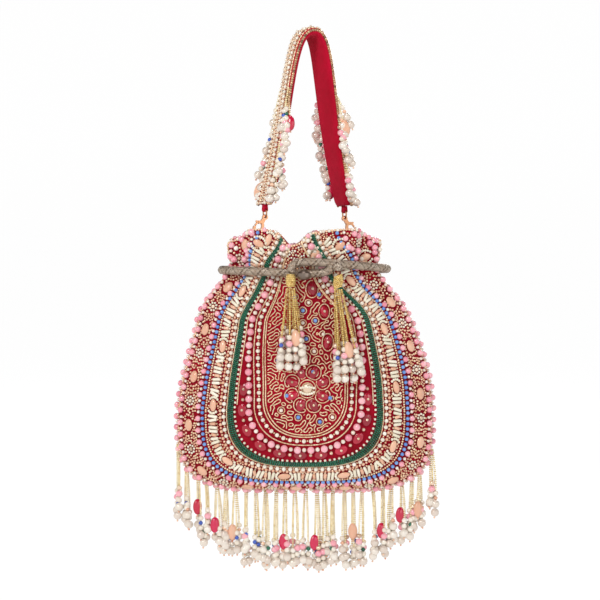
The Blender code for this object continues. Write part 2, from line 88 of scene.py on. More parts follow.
STRAP_WIDTH, STRAP_THICK, STRAP_TWIST = 28, 7, math.radians(10)
TASSEL_TOPS = {"left": (-12.6, -45.5, -213.5), "right": (29.0, -44.5, -214.5)}
CAP_HEIGHT, CAP_RADIUS = 13, 4.6
CORD_RADIUS, BRAID_PITCH = 3.8, 17.0
FRINGE_LEFT, FRINGE_RIGHT, FRINGE_END = -116.5, 116.0, -484


def ramp(value, start, end):
    t = np.clip((value - start) / (end - start), 0, 1)
    return t * t * (3 - 2 * t)


def smooth_through(table, z, column=1):
    """A cubic through the table's points, where the first column falls and holds the height."""
    heights = np.array([row[0] for row in table], float)
    values = np.array([row[column] for row in table], float)
    z = np.clip(z, heights[-1], heights[0])
    i = np.clip(np.searchsorted(-heights, -z, side="right") - 1, 0, len(table) - 2)
    before, after = np.maximum(i - 1, 0), np.minimum(i + 2, len(table) - 1)
    span = heights[i + 1] - heights[i]
    t = (z - heights[i]) / span
    low = (values[i + 1] - values[before]) / (heights[i + 1] - heights[before]) * span
    high = (values[after] - values[i]) / (heights[after] - heights[i]) * span
    return (
        (2 * t**3 - 3 * t**2 + 1) * values[i]
        + (t**3 - 2 * t**2 + t) * low
        + (3 * t**2 - 2 * t**3) * values[i + 1]
        + (t**3 - t**2) * high
    )


def rim_height(angle):
    centres = (RIM_DIP_ANGLE, math.pi - RIM_DIP_ANGLE)
    dip = sum(np.exp(-(((angle - centre) / RIM_DIP_SPREAD) ** 2)) for centre in centres)
    fall = RIM_FALL * ramp(np.abs(np.sin(angle)), 0.72, 1.0)
    return RIM_Z - fall - RIM_DIP * dip + 1.5 * np.cos(PLEATS / 2 * (angle + PLEAT_SHIFT))


def pouch(w, t, back, inset=0.0, pleat=PLEAT_DEPTH, tuck=0.0, rim=None, sewn=True):
    """Points of the pouch in mm. w runs from a panel's middle, 0, to its seam, 1, and t runs along one of
    the nested U curves, from -1 at the left rim, through 0 at the bottom, to 1 at the right rim. The
    curves of the embroidery, sewn, close up more at the neck than the plain cloth's."""
    w, t = np.broadcast_arrays(np.asarray(w, float), np.asarray(t, float))

    def sideways(z):
        gather = 1 + NECK_GATHER * ramp(z, -258, -212) + sewn * SEWN_GATHER * ramp(z, -208, -176)
        s = np.where(t < 0, -1, 1) * w**gather
        return s - sewn * SEWN_LEAN * ramp(z, -250, -210) * (1 - s * s)

    def around(s):
        angle = np.arcsin(np.clip(s, -1, 1))
        return math.pi - angle if back else angle

    share = np.abs(t)
    bottom = POUCH_BOTTOM + inset + CENTRE_RISE * np.maximum(1 - w, 0) ** 1.5
    corner = bottom + CORNER_HEIGHT * (0.3 + 0.7 * w)
    bend = 2.1 + 2.2 * w * w
    turn = np.clip(math.pi / 2 * (1 - share / 0.4), 0, math.pi / 2)
    low = corner - (corner - bottom) * np.sin(turn) ** (2 / bend)
    top = rim_height(around(sideways(RIM_Z))) if rim is None else rim
    high = corner + (top - corner) * (share - 0.4) / 0.6
    z = np.where(share < 0.4, low, high)
    narrow = np.where(share < 0.4, np.maximum(np.cos(turn), 0) ** (2 / bend), 1.0)
    s = sideways(z)
    angle = np.arcsin(np.clip(s, -1, 1))
    half = np.where(s < 0, smooth_through(POUCH_SIDES, z, 1), smooth_through(POUCH_SIDES, z, 2)) - inset
    depth = smooth_through(POUCH_DEPTHS, z) - inset
    power = 0.5 + 0.12 * ramp(-z, 215, 260)
    fold = (pleat * np.cos(PLEATS * (around(s) + PLEAT_SHIFT)) - tuck) * ramp(z, -256, -205)
    x = half * s * narrow + fold * np.sin(angle)
    y = depth * np.maximum(0, 1 - s * s) ** power + fold * np.cos(angle)
    return np.stack([x, y if back else -y, z], -1)


def pouch_frame(w, t, back):
    """Points on the pouch with their directions along the U curve and out of the cloth."""
    step = 0.004
    w_in = np.clip(w, 0.02, 0.985)
    t_in = np.where(np.abs(t) < 0.006, 0.006, t)
    t_in = np.clip(t_in, -0.995, 0.995)
    along = pouch(w_in, t_in + step, back) - pouch(w_in, t_in - step, back)
    over = pouch(w_in + step, t_in, back) - pouch(w_in - step, t_in, back)
    out = np.cross(along, over)
    here = pouch(w, t, back)
    out = unit(out)
    centre = np.zeros_like(here)
    centre[..., 2] = np.clip(here[..., 2], -330, -180)
    out *= np.sign(np.sum(out * (here - centre), -1, keepdims=True))
    return here, unit(along), out


def unit(v):
    return v / np.maximum(np.linalg.norm(v, axis=-1, keepdims=True), 1e-12)


# ---------------------------------------------------------------- meshes from arrays
def build(name, verts, faces, look, body, smooth=True):
    """A mesh object from an array of points in mm and one of faces with equal corner counts."""
    mesh = bpy.data.meshes.new(name)
    corners = faces.shape[1]
    mesh.vertices.add(len(verts))
    mesh.vertices.foreach_set("co", (np.asarray(verts) * MM).astype(np.float32).ravel())
    mesh.loops.add(faces.size)
    mesh.loops.foreach_set("vertex_index", faces.astype(np.int32).ravel())
    mesh.polygons.add(len(faces))
    mesh.polygons.foreach_set("loop_start", np.arange(len(faces), dtype=np.int32) * corners)
    mesh.update(calc_edges=True)
    mesh.polygons.foreach_set("use_smooth", np.full(len(faces), smooth))
    made = bpy.data.objects.new(name, mesh)
    bpy.context.scene.collection.objects.link(made)
    mesh.materials.append(look)
    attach(made, body)
    return made


def ball(levels):
    """A unit sphere: an icosahedron, divided levels times."""
    g = (1 + 5**0.5) / 2
    verts = [(-1, g, 0), (1, g, 0), (-1, -g, 0), (1, -g, 0), (0, -1, g), (0, 1, g)]
    verts += [(0, -1, -g), (0, 1, -g), (g, 0, -1), (g, 0, 1), (-g, 0, -1), (-g, 0, 1)]
    fans = "0 11 5 0 5 1 0 1 7 0 7 10 0 10 11 1 5 9 5 11 4 11 10 2 10 7 6 7 1 8"
    fans += " 3 9 4 3 4 2 3 2 6 3 6 8 3 8 9 4 9 5 2 4 11 6 2 10 8 6 7 9 8 1"
    faces = np.array(fans.split(), int).reshape(-1, 3)
    verts = unit(np.array(verts, float))
    for _ in range(levels):
        mids = {}
        more = list(verts)
        split = []
        for face in faces:
            m = []
            for a, b in ((0, 1), (1, 2), (2, 0)):
                key = tuple(sorted((face[a], face[b])))
                if key not in mids:
                    mids[key] = len(more)
                    more.append(unit(verts[key[0]] + verts[key[1]]))
                m.append(mids[key])
            a, b, c = face
            split += [(a, m[0], m[2]), (b, m[1], m[0]), (c, m[2], m[1]), tuple(m)]
        verts, faces = np.array(more), np.array(split)
    return verts, faces


def rod(sides=6, taper=0.75):
    """A unit rod along its first axis, with chamfered ends."""
    rings = [(-1.0, taper), (-0.82, 1.0), (0.82, 1.0), (1.0, taper)]
    a = 2 * math.pi * np.arange(sides) / sides
    verts = [np.stack([np.full(sides, x), r * np.cos(a), r * np.sin(a)], -1) for x, r in rings]
    faces = []
    for k in range(len(rings) - 1):
        for i in range(sides):
            j = (i + 1) % sides
            p, q = k * sides, (k + 1) * sides
            faces += [(p + i, q + i, q + j), (p + i, q + j, p + j)]
    last = (len(rings) - 1) * sides
    for i in range(1, sides - 1):
        faces += [(0, i, i + 1), (last, last + i + 1, last + i)]
    return np.concatenate(verts), np.array(faces)[:, ::-1]


SEED, BEAD, PEARL = ball(0), ball(1), ball(2)
BUGLE, TUBE = rod(4, 0.7), rod(8, 0.6)


class Tray:
    """Beads of one look on one body, gathered and built as one mesh."""

    every = {}
    log = []

    def __init__(self, name, look, body, slot):
        self.name, self.look, self.body, self.slot = name, look, body, slot
        self.verts, self.faces, self.count = [], [], 0
        Tray.every[name] = self

    def lay(self, shape, at, along, out, size):
        """One copy of the shape at each point. size is the half-size along, across and out, in mm."""
        at = np.atleast_2d(at)
        n = len(at)
        if not n:
            return
        x = unit(np.broadcast_to(along, (n, 3)))
        z = np.broadcast_to(out, (n, 3))
        z = unit(z - x * np.sum(x * z, -1, keepdims=True))
        y = np.cross(z, x)
        size = np.broadcast_to(size, (n, 3)) if np.ndim(size) else np.full((n, 3), size)
        local = shape[0][None] * size[:, None]
        placed = at[:, None] + local @ np.stack([x, y, z], 1)
        if self.body == "bag":
            for spot in (-0.66, 0, 0.66):
                Tray.log.append(np.concatenate([at + x * size[:, :1] * spot, size[:, 1:2]], 1))
        self.verts.append(placed.reshape(-1, 3))
        step = len(shape[0])
        faces = shape[1][None] + (self.count + step * np.arange(n))[:, None, None]
        self.faces.append(faces.reshape(-1, 3))
        self.count += n * step

    def finish(self):
        verts, faces = np.concatenate(self.verts), np.concatenate(self.faces)
        return build(self.name, verts, faces, self.look, self.body)


# ---------------------------------------------------------------- materials
def linear(*rgb):
    c = np.array(rgb, float) / 255
    return tuple(np.where(c <= 0.04045, c / 12.92, ((c + 0.055) / 1.055) ** 2.4)) + (1.0,)


def new_material(name):
    made = bpy.data.materials.new(name)
    made.use_nodes = True
    tree = made.node_tree
    return made, tree, tree.nodes["Principled BSDF"]


def ramp_node(tree, stops):
    node = tree.nodes.new("ShaderNodeValToRGB")
    for k, (place, colour) in enumerate(stops):
        stop = node.color_ramp.elements[k] if k < 2 else node.color_ramp.elements.new(place)
        stop.position = place
        stop.color = colour
    return node


def object_noise(tree, scale, detail=3.0, rough=0.5):
    where = tree.nodes.new("ShaderNodeTexCoord")
    noise = tree.nodes.new("ShaderNodeTexNoise")
    noise.inputs["Scale"].default_value = scale
    noise.inputs["Detail"].default_value = detail
    noise.inputs["Roughness"].default_value = rough
    tree.links.new(where.outputs["Object"], noise.inputs["Vector"])
    return noise


def bump(tree, shader, height, strength, distance):
    node = tree.nodes.new("ShaderNodeBump")
    node.inputs["Strength"].default_value = strength
    node.inputs["Distance"].default_value = distance
    tree.links.new(height, node.inputs["Height"])
    tree.links.new(node.outputs["Normal"], shader.inputs["Normal"])


def bead_look(name, colours, roughness, metallic=0.0, coat=0.0, subsurface=0.0, transmission=0.0, grain=900):
    """Glass, pearl or metal beads: each bead takes its own colour from the list, with a fine uneven skin."""
    made, tree, shader = new_material(name)
    island = tree.nodes.new("ShaderNodeNewGeometry")
    stops = [(k / max(len(colours) - 1, 1), c) for k, c in enumerate(colours)]
    tone = ramp_node(tree, stops if len(stops) > 1 else stops + [(1.0, colours[0])])
    tree.links.new(island.outputs["Random Per Island"], tone.inputs["Fac"])
    tree.links.new(tone.outputs["Color"], shader.inputs["Base Color"])
    noise = object_noise(tree, grain)
    span = tree.nodes.new("ShaderNodeMapRange")
    span.inputs["To Min"].default_value = max(roughness - 0.08, 0.02)
    span.inputs["To Max"].default_value = roughness + 0.12
    tree.links.new(noise.outputs["Fac"], span.inputs["Value"])
    tree.links.new(span.outputs["Result"], shader.inputs["Roughness"])
    bump(tree, shader, noise.outputs["Fac"], 0.12, 0.0002)
    shader.inputs["Metallic"].default_value = metallic
    shader.inputs["Coat Weight"].default_value = coat
    shader.inputs["Coat Roughness"].default_value = 0.08
    shader.inputs["Subsurface Weight"].default_value = subsurface
    shader.inputs["Subsurface Scale"].default_value = 0.002
    shader.inputs["Transmission Weight"].default_value = transmission
    return made


def velvet(name, deep, lit, sheen_tint, pile=1500, broad=28):
    """Short pile: colour shifts where the pile lies over, a fine fuzz in the normal and a soft sheen."""
    made, tree, shader = new_material(name)
    patches = object_noise(tree, broad, 4.0, 0.6)
    tone = ramp_node(tree, [(0.3, deep), (0.75, lit)])
    tree.links.new(patches.outputs["Fac"], tone.inputs["Fac"])
    tree.links.new(tone.outputs["Color"], shader.inputs["Base Color"])
    fuzz = object_noise(tree, pile, 2.0, 0.7)
    bump(tree, shader, fuzz.outputs["Fac"], 0.55, 0.0006)
    shader.inputs["Roughness"].default_value = 0.92
    shader.inputs["Specular IOR Level"].default_value = 0.2
    shader.inputs["Sheen Weight"].default_value = 0.35
    shader.inputs["Sheen Roughness"].default_value = 0.35
    shader.inputs["Sheen Tint"].default_value = sheen_tint
    return made


def metal(name, colour, roughness):
    made, tree, shader = new_material(name)
    noise = object_noise(tree, 700, 4.0)
    tone = ramp_node(tree, [(0.2, colour), (0.9, tuple(0.8 * c for c in colour[:3]) + (1.0,))])
    tree.links.new(noise.outputs["Fac"], tone.inputs["Fac"])
    tree.links.new(tone.outputs["Color"], shader.inputs["Base Color"])
    bump(tree, shader, noise.outputs["Fac"], 0.05, 0.0001)
    shader.inputs["Metallic"].default_value = 1.0
    shader.inputs["Roughness"].default_value = roughness
    return made


VELVET = velvet("crimson_velvet", linear(124, 0, 20), linear(172, 4, 38), linear(255, 90, 120))
STRAP_VELVET = velvet("strap_velvet", linear(150, 0, 26), linear(198, 8, 52), linear(255, 90, 120), 1500, 16)
SATIN = velvet("lining_satin", linear(110, 8, 26), linear(165, 20, 48), linear(255, 150, 170), 900, 40)
ROSE_GOLD = metal("rose_gold_metal", linear(205, 150, 112), 0.22)
DARK_SILVER = metal("dark_silver_metal", linear(128, 114, 104), 0.34)
STEEL = metal("spring_steel_metal", linear(170, 170, 172), 0.3)

# Each kind of bead: its material, its colours as red, green and blue, and how it shines: roughness,
# metallic, coat, subsurface, transmission and grain.
BEAD_KINDS = {
    "pearl": ("pearl", ((238, 230, 214), (226, 212, 194), (244, 238, 226)), (0.16, 0, 0.7)),
    "blush_pearl": ("blush_pearl", ((230, 219, 204), (216, 200, 186), (238, 230, 218)), (0.12, 0.1, 0.9)),
    "white": ("white_glass", ((242, 234, 216), (228, 218, 194)), (0.26, 0, 0.3)),
    "pink": ("pink_glass", ((236, 156, 170), (244, 182, 190), (226, 136, 154)), (0.16, 0, 0.5, 0.2)),
    "blue": ("blue_glass", ((84, 130, 204), (120, 164, 224)), (0.2, 0, 0.4)),
    "navy": ("navy_glass", ((36, 66, 160), (70, 104, 196)), (0.18, 0, 0.5)),
    "green": ("green_glass", ((4, 84, 58), (12, 106, 74), (0, 62, 42)), (0.2, 0, 0.5)),
    "gold": ("gold_seeds", ((242, 198, 154), (250, 224, 188), (224, 168, 126)), (0.24, 0.2, 0.4)),
    "copper": ("copper_seeds", ((234, 176, 144), (246, 206, 176), (208, 138, 108)), (0.22, 0.2, 0.4)),
    "bronze": ("bronze_seeds", ((164, 122, 90), (206, 168, 128), (112, 80, 60)), (0.24, 0.4, 0.3)),
    "bugle": ("champagne_bugles", ((246, 210, 166), (252, 228, 194), (228, 178, 132)), (0.24, 0.2, 0.3)),
    "crystal": ("crystal", ((222, 192, 160), (240, 216, 190), (172, 132, 100)), (0.08, 0.3, 0.8)),
    "peach": ("peach_stone", ((220, 166, 136), (234, 186, 156)), (0.3, 0, 0.4, 0.1)),
    "red": ("red_stone", ((168, 8, 40), (138, 2, 28), (188, 16, 52)), (0.14, 0, 0.3)),
    "magenta": ("magenta_stone", ((204, 14, 72), (178, 4, 34)), (0.2, 0, 0.5)),
    "string": ("string_seeds", ((234, 214, 160), (246, 232, 190), (212, 186, 128)), (0.2, 0.15, 0.4)),
    "gilt": ("gilt_seeds", ((216, 178, 96), (234, 206, 132), (184, 142, 70)), (0.22, 0.3, 0.3)),
    "zari": ("zari_thread", ((146, 124, 104), (196, 180, 162), (92, 74, 60)), (0.3, 0.6, 0.0, 0, 0, 2400)),
}
LOOKS = {
    kind: bead_look(name, [linear(*tint) for tint in tints], *shine)
    for kind, (name, tints, shine) in BEAD_KINDS.items()
}
SLOTS = {
    "pearl": "pearl_strands",
    "blush_pearl": "pearl_strands",
    "white": "pearl_strands",
    "gold": "gold_seed_beads",
    "copper": "gold_seed_beads",
    "bronze": "gold_seed_beads",
    "bugle": "gold_seed_beads",
    "string": "gold_seed_beads",
    "gilt": "gold_seed_beads",
    "zari": "silver_cord",
}


def tray(group, colour, body):
    name = f"{group}_{colour}"
    if name in Tray.every:
        return Tray.every[name]
    return Tray(name, LOOKS[colour], body, SLOTS.get(colour, "embroidered_velvet"))


# ---------------------------------------------------------------- cloth
def pouch_skin(rows, columns, **how):
    """(points, faces) of one closed-round skin, front and back, with its rim left open at t = -1 and 1."""
    w = np.sin(np.linspace(0, math.pi / 2, rows + 1))
    low = columns // 3
    half = np.concatenate([np.linspace(0, 0.4, low), np.linspace(0.4, 1, columns - low)[1:]])
    t = np.concatenate([-half[:0:-1], half])
    points, faces = [], []
    for back in (False, True):
        grid = pouch(w[:, None], t[None], back, **how)
        start = sum(len(p) for p in points)
        index = start + np.arange(grid.shape[0] * grid.shape[1]).reshape(grid.shape[:2])
        quads = np.stack([index[:-1, :-1], index[:-1, 1:], index[1:, 1:], index[1:, :-1]], -1).reshape(-1, 4)
        faces.append(quads if back else quads[:, ::-1])
        points.append(grid.reshape(-1, 3))
    return np.concatenate(points), np.concatenate(faces), rows + 1, len(t)


def pouch_cloth(name, rows, columns, look, nodes, outer, inner):
    out_points, out_faces, r, c = pouch_skin(rows, columns, **outer, sewn=False)
    in_points, in_faces, _, _ = pouch_skin(rows, columns, **inner, sewn=False)
    n = len(out_points)
    rim = []
    for panel in (0, 1):
        base = panel * r * c
        left = [base + k * c for k in range(r)][::-1]
        right = [base + k * c + c - 1 for k in range(r)]
        rim.append(left + right)
    loop = rim[0] + rim[1][::-1]
    band = [(a, b, b + n, a + n) for a, b in zip(loop, loop[1:] + loop[:1])]
    points = np.concatenate([out_points, in_points])
    faces = np.concatenate([out_faces, in_faces[:, ::-1] + n, np.array(band)])
    made = build(name, points, faces, look, "bag")
    weld(made)
    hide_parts(*nodes)
    return made


def weld(made):
    bm = bmesh.new()
    bm.from_mesh(made.data)
    bmesh.ops.remove_doubles(bm, verts=bm.verts, dist=1e-6)
    bmesh.ops.dissolve_degenerate(bm, edges=bm.edges, dist=1e-7)
    bmesh.ops.recalc_face_normals(bm, faces=bm.faces)
    bm.to_mesh(made.data)
    bm.free()


def make_pouch():
    shells = ("pouch_front", "pouch_back")
    pouch_cloth("pouch_cloth", 40, 60, VELVET, shells, {}, {"inset": SHELL_THICK})
    gap = SHELL_THICK + LINING_GAP
    outer = {"inset": gap, "pleat": 0.0, "tuck": PLEAT_DEPTH, "rim": LINING_RIM}
    inner = {**outer, "inset": gap + LINING_THICK}
    pouch_cloth("lining_cloth", 24, 40, SATIN, ("pouch_lining",), outer, inner)


# ---------------------------------------------------------------- embroidery
def level(w, climb, t):
    """The U curves of the middle bands move outwards by climb on their way up to the neck."""
    return w + climb * ramp(np.abs(t), 0.38, 0.66)


def spaced(w, back, pitches, first=-1.0, last=1.0, climb=0.0):
    """t values along the U curve at w, where the gaps between neighbours repeat the list of pitches."""
    dense = np.linspace(first, last, 1200)
    points = pouch(level(w, climb, dense), dense, back)
    length = np.concatenate([[0], np.cumsum(np.linalg.norm(np.diff(points, axis=0), axis=1))])
    repeats = max(1, round(length[-1] / sum(pitches)))
    steps = np.tile(pitches, repeats).astype(float)
    steps *= length[-1] / steps.sum()
    places = np.cumsum(steps) - steps / 2
    return np.interp(places, length, dense)


def row(group, colour, w, back, pitch, radius, shape=SEED, lift=0.7, stretch=1.0):
    """One line of equal beads along a U curve."""
    t = spaced(w, back, [pitch])
    at, along, out = pouch_frame(np.full(len(t), w), t, back)
    size = (radius * stretch, radius, radius)
    tray(group, colour, "bag").lay(shape, at + out * radius * lift, along, out, size)


def alternating(group, w, back, big, small, pitches, colours=("pink", "pearl"), climb=0.0):
    """Large and small beads in turn."""
    t = spaced(w, back, pitches, climb=climb)
    at, along, out = pouch_frame(level(w, climb, t), t, back)
    for start, (colour, radius) in enumerate(zip(colours, (big, small))):
        at_k, along_k, out_k = at[start::2], along[start::2], out[start::2]
        shape = PEARL if radius > 2.65 else BEAD
        tray(group, colour, "bag").lay(shape, at_k + out_k * radius * 0.8, along_k, out_k, radius)


def line(group, w, back, span=(-1, 1), radius=0.6, colour="bugle", climb=0.0):
    """A line of bugle beads laid end to end."""
    t = spaced(w, back, [2.6], *span, climb)
    at, along, out = pouch_frame(level(w, climb, t), t, back)
    tray(group, colour, "bag").lay(BUGLE, at + out * radius, along, out, (1.28, radius, radius))


def clear_of(points, centres, radii):
    if not len(centres):
        return np.ones(len(points), bool)
    gaps = np.linalg.norm(points[:, None] - np.array(centres)[None], axis=-1)
    return (gaps > np.array(radii)[None]).all(1)


def flower(group, at, along, out, radius):
    """A ring of white seeds round a crystal."""
    across = np.cross(out, along)
    for k in range(8):
        a = 2 * math.pi * k / 8
        spot = at + (along * math.cos(a) + across * math.sin(a)) * radius * 0.78
        tray(group, "white", "bag").lay(SEED, spot + out * 0.9, along, out, (1.25, 1.25, 1.0))
    tray(group, "crystal", "bag").lay(BEAD, at + out * 1.0, along, out, (1.9, 1.9, 1.4))


def fill(group, back, spots, colours, radius=1.15, gap=0.88, share=1.0):
    """Seed beads strewn over the cloth between the beads that are there, until no more fit."""
    placed = np.concatenate(Tray.log)
    cell = 4.0
    cells = {}
    for p in placed:
        cells.setdefault(tuple(np.floor(p[:3] / cell).astype(int)), []).append(p)
    at, along, out = pouch_frame(spots[:, 0], spots[:, 1], back)
    size = radius * rng.uniform(0.86, 1.1, len(at))
    centre = at + out * (0.7 * size)[:, None]
    near = [(i, j, k) for i in (-1, 0, 1) for j in (-1, 0, 1) for k in (-1, 0, 1)]
    kept = []
    for n, c in enumerate(centre):
        home = tuple(np.floor(c / cell).astype(int))
        others = [p for d in near for p in cells.get((home[0] + d[0], home[1] + d[1], home[2] + d[2]), ())]
        if others:
            others = np.array(others)
            reach = np.linalg.norm(others[:, :3] - c, axis=1)
            if (reach < gap * (others[:, 3] + size[n])).any():
                continue
        cells.setdefault(home, []).append(np.append(c, size[n]))
        if rng.random() < share:
            kept.append(n)
    kept = np.array(kept, int)
    kind = rng.integers(0, len(colours), len(kept))
    for k, colour in enumerate(colours):
        pick = kept[kind == k]
        round_size = np.repeat(size[pick][:, None], 3, 1)
        tray(group, colour, "bag").lay(SEED, centre[pick], along[pick], out[pick], round_size)


def strewn(count, low, high, first=0.0, last=1.0):
    """Random (w, t) spots between two U curves, on both sides, from first to last of the way up."""
    w = rng.uniform(low, high, count)
    t = rng.uniform(first, last, count) * rng.choice((-1, 1), count)
    return np.stack([w, t], 1)


def ladder(group, back, w, half):
    """White rods laid in pairs across the band like rungs, peach rods between them, and upright ovals."""
    t = spaced(w, back, [3.3])
    at, along, out = pouch_frame(np.full(len(t), w), t, back)
    across = np.cross(out, along)
    white, peach = tray(group, "white", "bag"), tray(group, "peach", "bag")
    for k in range(len(t)):
        beat = k % 16
        tilt = along[k] * ((0.22 if (k // 3) % 2 else -0.12) + rng.normal(0, 0.13))
        reach = half * rng.uniform(0.84, 1.06)
        if beat < 5:
            if beat == 2:
                peach.lay(PEARL, at[k] + out[k] * 1.4, along[k] + across[k] * 0.12, out[k], (5.6, 3.0, 1.9))
                for side in (-1, 1):
                    for j in range(-2, 3):
                        spot = at[k] + along[k] * side * (7.2 - 0.42 * j * j) + across[k] * j * 1.75
                        white.lay(BEAD, spot + out[k] * 1.2, across[k], out[k], (1.15, 1.3, 1.3))
        elif beat in (7, 10, 13):
            peach.lay(TUBE, at[k] + out[k] * 1.1, across[k] + tilt, out[k], (half * 0.6, 1.5, 1.3))
            for side in (-1, 1):
                spot = at[k] + across[k] * side * half * 0.85
                tray(group, "crystal", "bag").lay(SEED, spot + out[k], along[k], out[k], 1.15)
        else:
            white.lay(TUBE, at[k] + out[k] * 1.3, across[k] + tilt, out[k], (reach, 1.4, 1.35))


def stone_band(group, back, w, span):
    """Dark red oval stones with a gold bead on each, and crystals between them."""
    t = spaced(w, back, [9.2, 9.2], *span)
    at, along, out = pouch_frame(np.full(len(t), w), t, back)
    for k in range(len(t)):
        if k % 2 == 0:
            tray(group, "red", "bag").lay(PEARL, at[k] + out[k] * 0.8, along[k], out[k], (6.0, 4.2, 1.7))
            tray(group, "crystal", "bag").lay(SEED, at[k] + out[k] * 2.6, along[k], out[k], 1.4)
        else:
            tray(group, "crystal", "bag").lay(BEAD, at[k] + out[k], along[k], out[k], 1.6)


def edge_decor(group, back):
    """Flowers and peach stones set in turn in the outer seed band."""
    t = spaced(0.905, back, [22.0])
    at, along, out = pouch_frame(np.full(len(t), 0.905), t, back)
    for k in range(len(t)):
        if k % 2:
            flower(group, at[k], along[k], out[k], 4.6)
        else:
            tray(group, "peach", "bag").lay(PEARL, at[k] + out[k] * 1.4, along[k], out[k], (5.4, 3.9, 1.9))


def neck_decor(group, back):
    """Peach ovals between arcs of white beads, and a flower, set round the neck."""
    w, t = np.meshgrid(np.linspace(0.02, 0.97, 90), np.linspace(-0.99, 0.99, 300), indexing="ij")
    cloth = pouch(w, t, back)
    for kind, x, z in NECK_SPOTS:
        k = np.unravel_index(np.argmin(np.hypot(cloth[..., 0] - x, cloth[..., 2] - z)), w.shape)
        at, along, out = (v[0] for v in pouch_frame(w[k][None], t[k][None], back))
        if kind == "flower":
            flower(group, at, along, out, 4.4)
            continue
        across = np.cross(out, along)
        tray(group, "peach", "bag").lay(PEARL, at + out * 1.6, across, out, (5.2, 3.2, 2.0))
        for side in (-1, 1):
            for j in range(-3, 4):
                spot = at + along * side * (6.2 - 0.3 * j * j) + across * j * 1.9
                tray(group, "white", "bag").lay(BEAD, spot + out * 1.5, across, out, (1.1, 1.3, 1.3))


def neck_lumps(group, back):
    """Large beads crowded at the sides of the neck."""
    w = rng.uniform(0.80, 0.985, 34)
    t = rng.uniform(0.88, 0.995, 34) * rng.choice((-1, 1), 34)
    at, along, out = pouch_frame(w, t, back)
    for k in range(len(w)):
        if not clear_of((at + out * 2)[k : k + 1], at[:k] + out[:k] * 2, np.full(k, 5.2))[0]:
            continue
        colour, radius = (("pink", 3.0), ("pink", 2.6), ("pearl", 2.2))[k % 3]
        tray(group, colour, "bag").lay(PEARL, at[k] + out[k] * 1.9, along[k], out[k], radius)


def rim_beads(group, back):
    """Small beads of every kind over the rim's edge."""
    dense = np.linspace(-0.999, 0.999, 900)
    edge = pouch(np.abs(dense), np.sign(dense), back)
    length = np.concatenate([[0], np.cumsum(np.linalg.norm(np.diff(edge, axis=0), axis=1))])
    places = np.arange(1.2, length[-1], 2.6)
    at = np.stack([np.interp(places, length, edge[:, k]) for k in range(3)], -1)
    along = unit(np.gradient(at, axis=0))
    kinds = rng.choice(("copper", "gold", "copper", "gold", "pearl", "pink"), len(at))
    for colour in ("copper", "gold", "pearl", "pink"):
        pick = kinds == colour
        radius = {"pink": 2.3, "pearl": 1.7}.get(colour, 1.3)
        shape = BEAD if radius > 1.5 else SEED
        tray(group, colour, "bag").lay(shape, at[pick] + UP * 0.3, along[pick], UP, radius)


# Round the neck, in mm: what is sewn there and where, seen from the front.
NECK_SPOTS = (
    ("oval", -41, -187),
    ("flower", 48, -180),
    ("oval", 54, -199),
    ("oval", 8, -197),
    ("flower", -16, -196),
    ("flower", -58, -200),
    ("oval", 31, -189),
)


def bands(group, back):
    """The nested rows of the embroidery, from the seam to the middle panel."""
    edge_decor(group, back)
    alternating(group, 0.965, back, 2.7, 1.5, [6.2, 4.4])
    alternating(group, 0.828, back, 2.6, 1.5, [6.2, 4.4])
    row(group, "blue", 0.797, back, 4.6, 1.75, BEAD)
    row(group, "gold", 0.772, back, 2.2, 1.05)
    ladder(group, back, 0.716, 4.3)
    alternating(group, 0.657, back, 1.5, 1.2, [3.4, 2.8], ("peach", "copper"))
    alternating(group, 0.630, back, 1.95, 0.8, [3.9, 1.8], ("pearl", "gold"))
    line(group, 0.609, back)
    for w in (0.594, 0.579, 0.564):
        row(group, "green", w, back, 1.9, 1.3, SEED, 0.85, 0.75)
    row(group, "white", 0.546, back, 4.2, 1.3)
    line(group, 0.531, back, (-1, -0.40))
    line(group, 0.531, back, (0.40, 1))
    stone_band(group, back, 0.487, (-0.47, 0.47))
    climb = 0.05
    alternating(group, 0.437, back, 3.2, 2.0, [7.0, 4.8], climb=climb)
    line(group, 0.398, back, climb=climb)
    alternating(group, 0.362, back, 1.95, 0.8, [4.2, 1.9], ("pearl", "gold"), climb=climb)
    for w in (0.330, 0.312):
        line(group, w, back, climb=climb * 0.8)
    rim_beads(group, back)
    neck_decor(group, back)
    neck_lumps(group, back)
    fill(group, back, strewn(30000, 0.838, 0.995), ("copper", "gold"))
    fill(group, back, strewn(9000, 0.64, 0.80), ("copper", "gold"), 1.0)
    fill(group, back, strewn(9000, 0.02, 0.86, 0.88, 1.0), ("gold", "copper", "pearl"), 1.2)


# ---------------------------------------------------------------- middle panel
def panel_inside(x, z, back, edge=0.30):
    """Whether a place seen from the front lies inside the U curve at edge."""
    t = np.linspace(-1, 1, 400)
    curve = pouch(level(edge, 0.04, t), t, back)
    left, right = curve[t < 0], curve[t > 0]
    order = np.argsort(left[:, 2])
    low = np.interp(z, left[order, 2], left[order, 0], left=1, right=np.nan)
    order = np.argsort(right[:, 2])
    high = np.interp(z, right[order, 2], right[order, 0], left=-1, right=np.nan)
    return (x > low) & (x < high)


def cloth_index(back):
    """A fine cloud of the cloth's points and outward directions, with a tree over their x and z."""
    w = np.linspace(0.001, 0.5, 90)
    t = np.linspace(-0.999, 0.999, 700)
    at, _, out = pouch_frame(np.repeat(w, len(t)), np.tile(t, len(w)), back)
    tree = kdtree.KDTree(len(at))
    for k, p in enumerate(at):
        tree.insert((p[0], p[2], 0), k)
    tree.balance()
    return tree, at, out


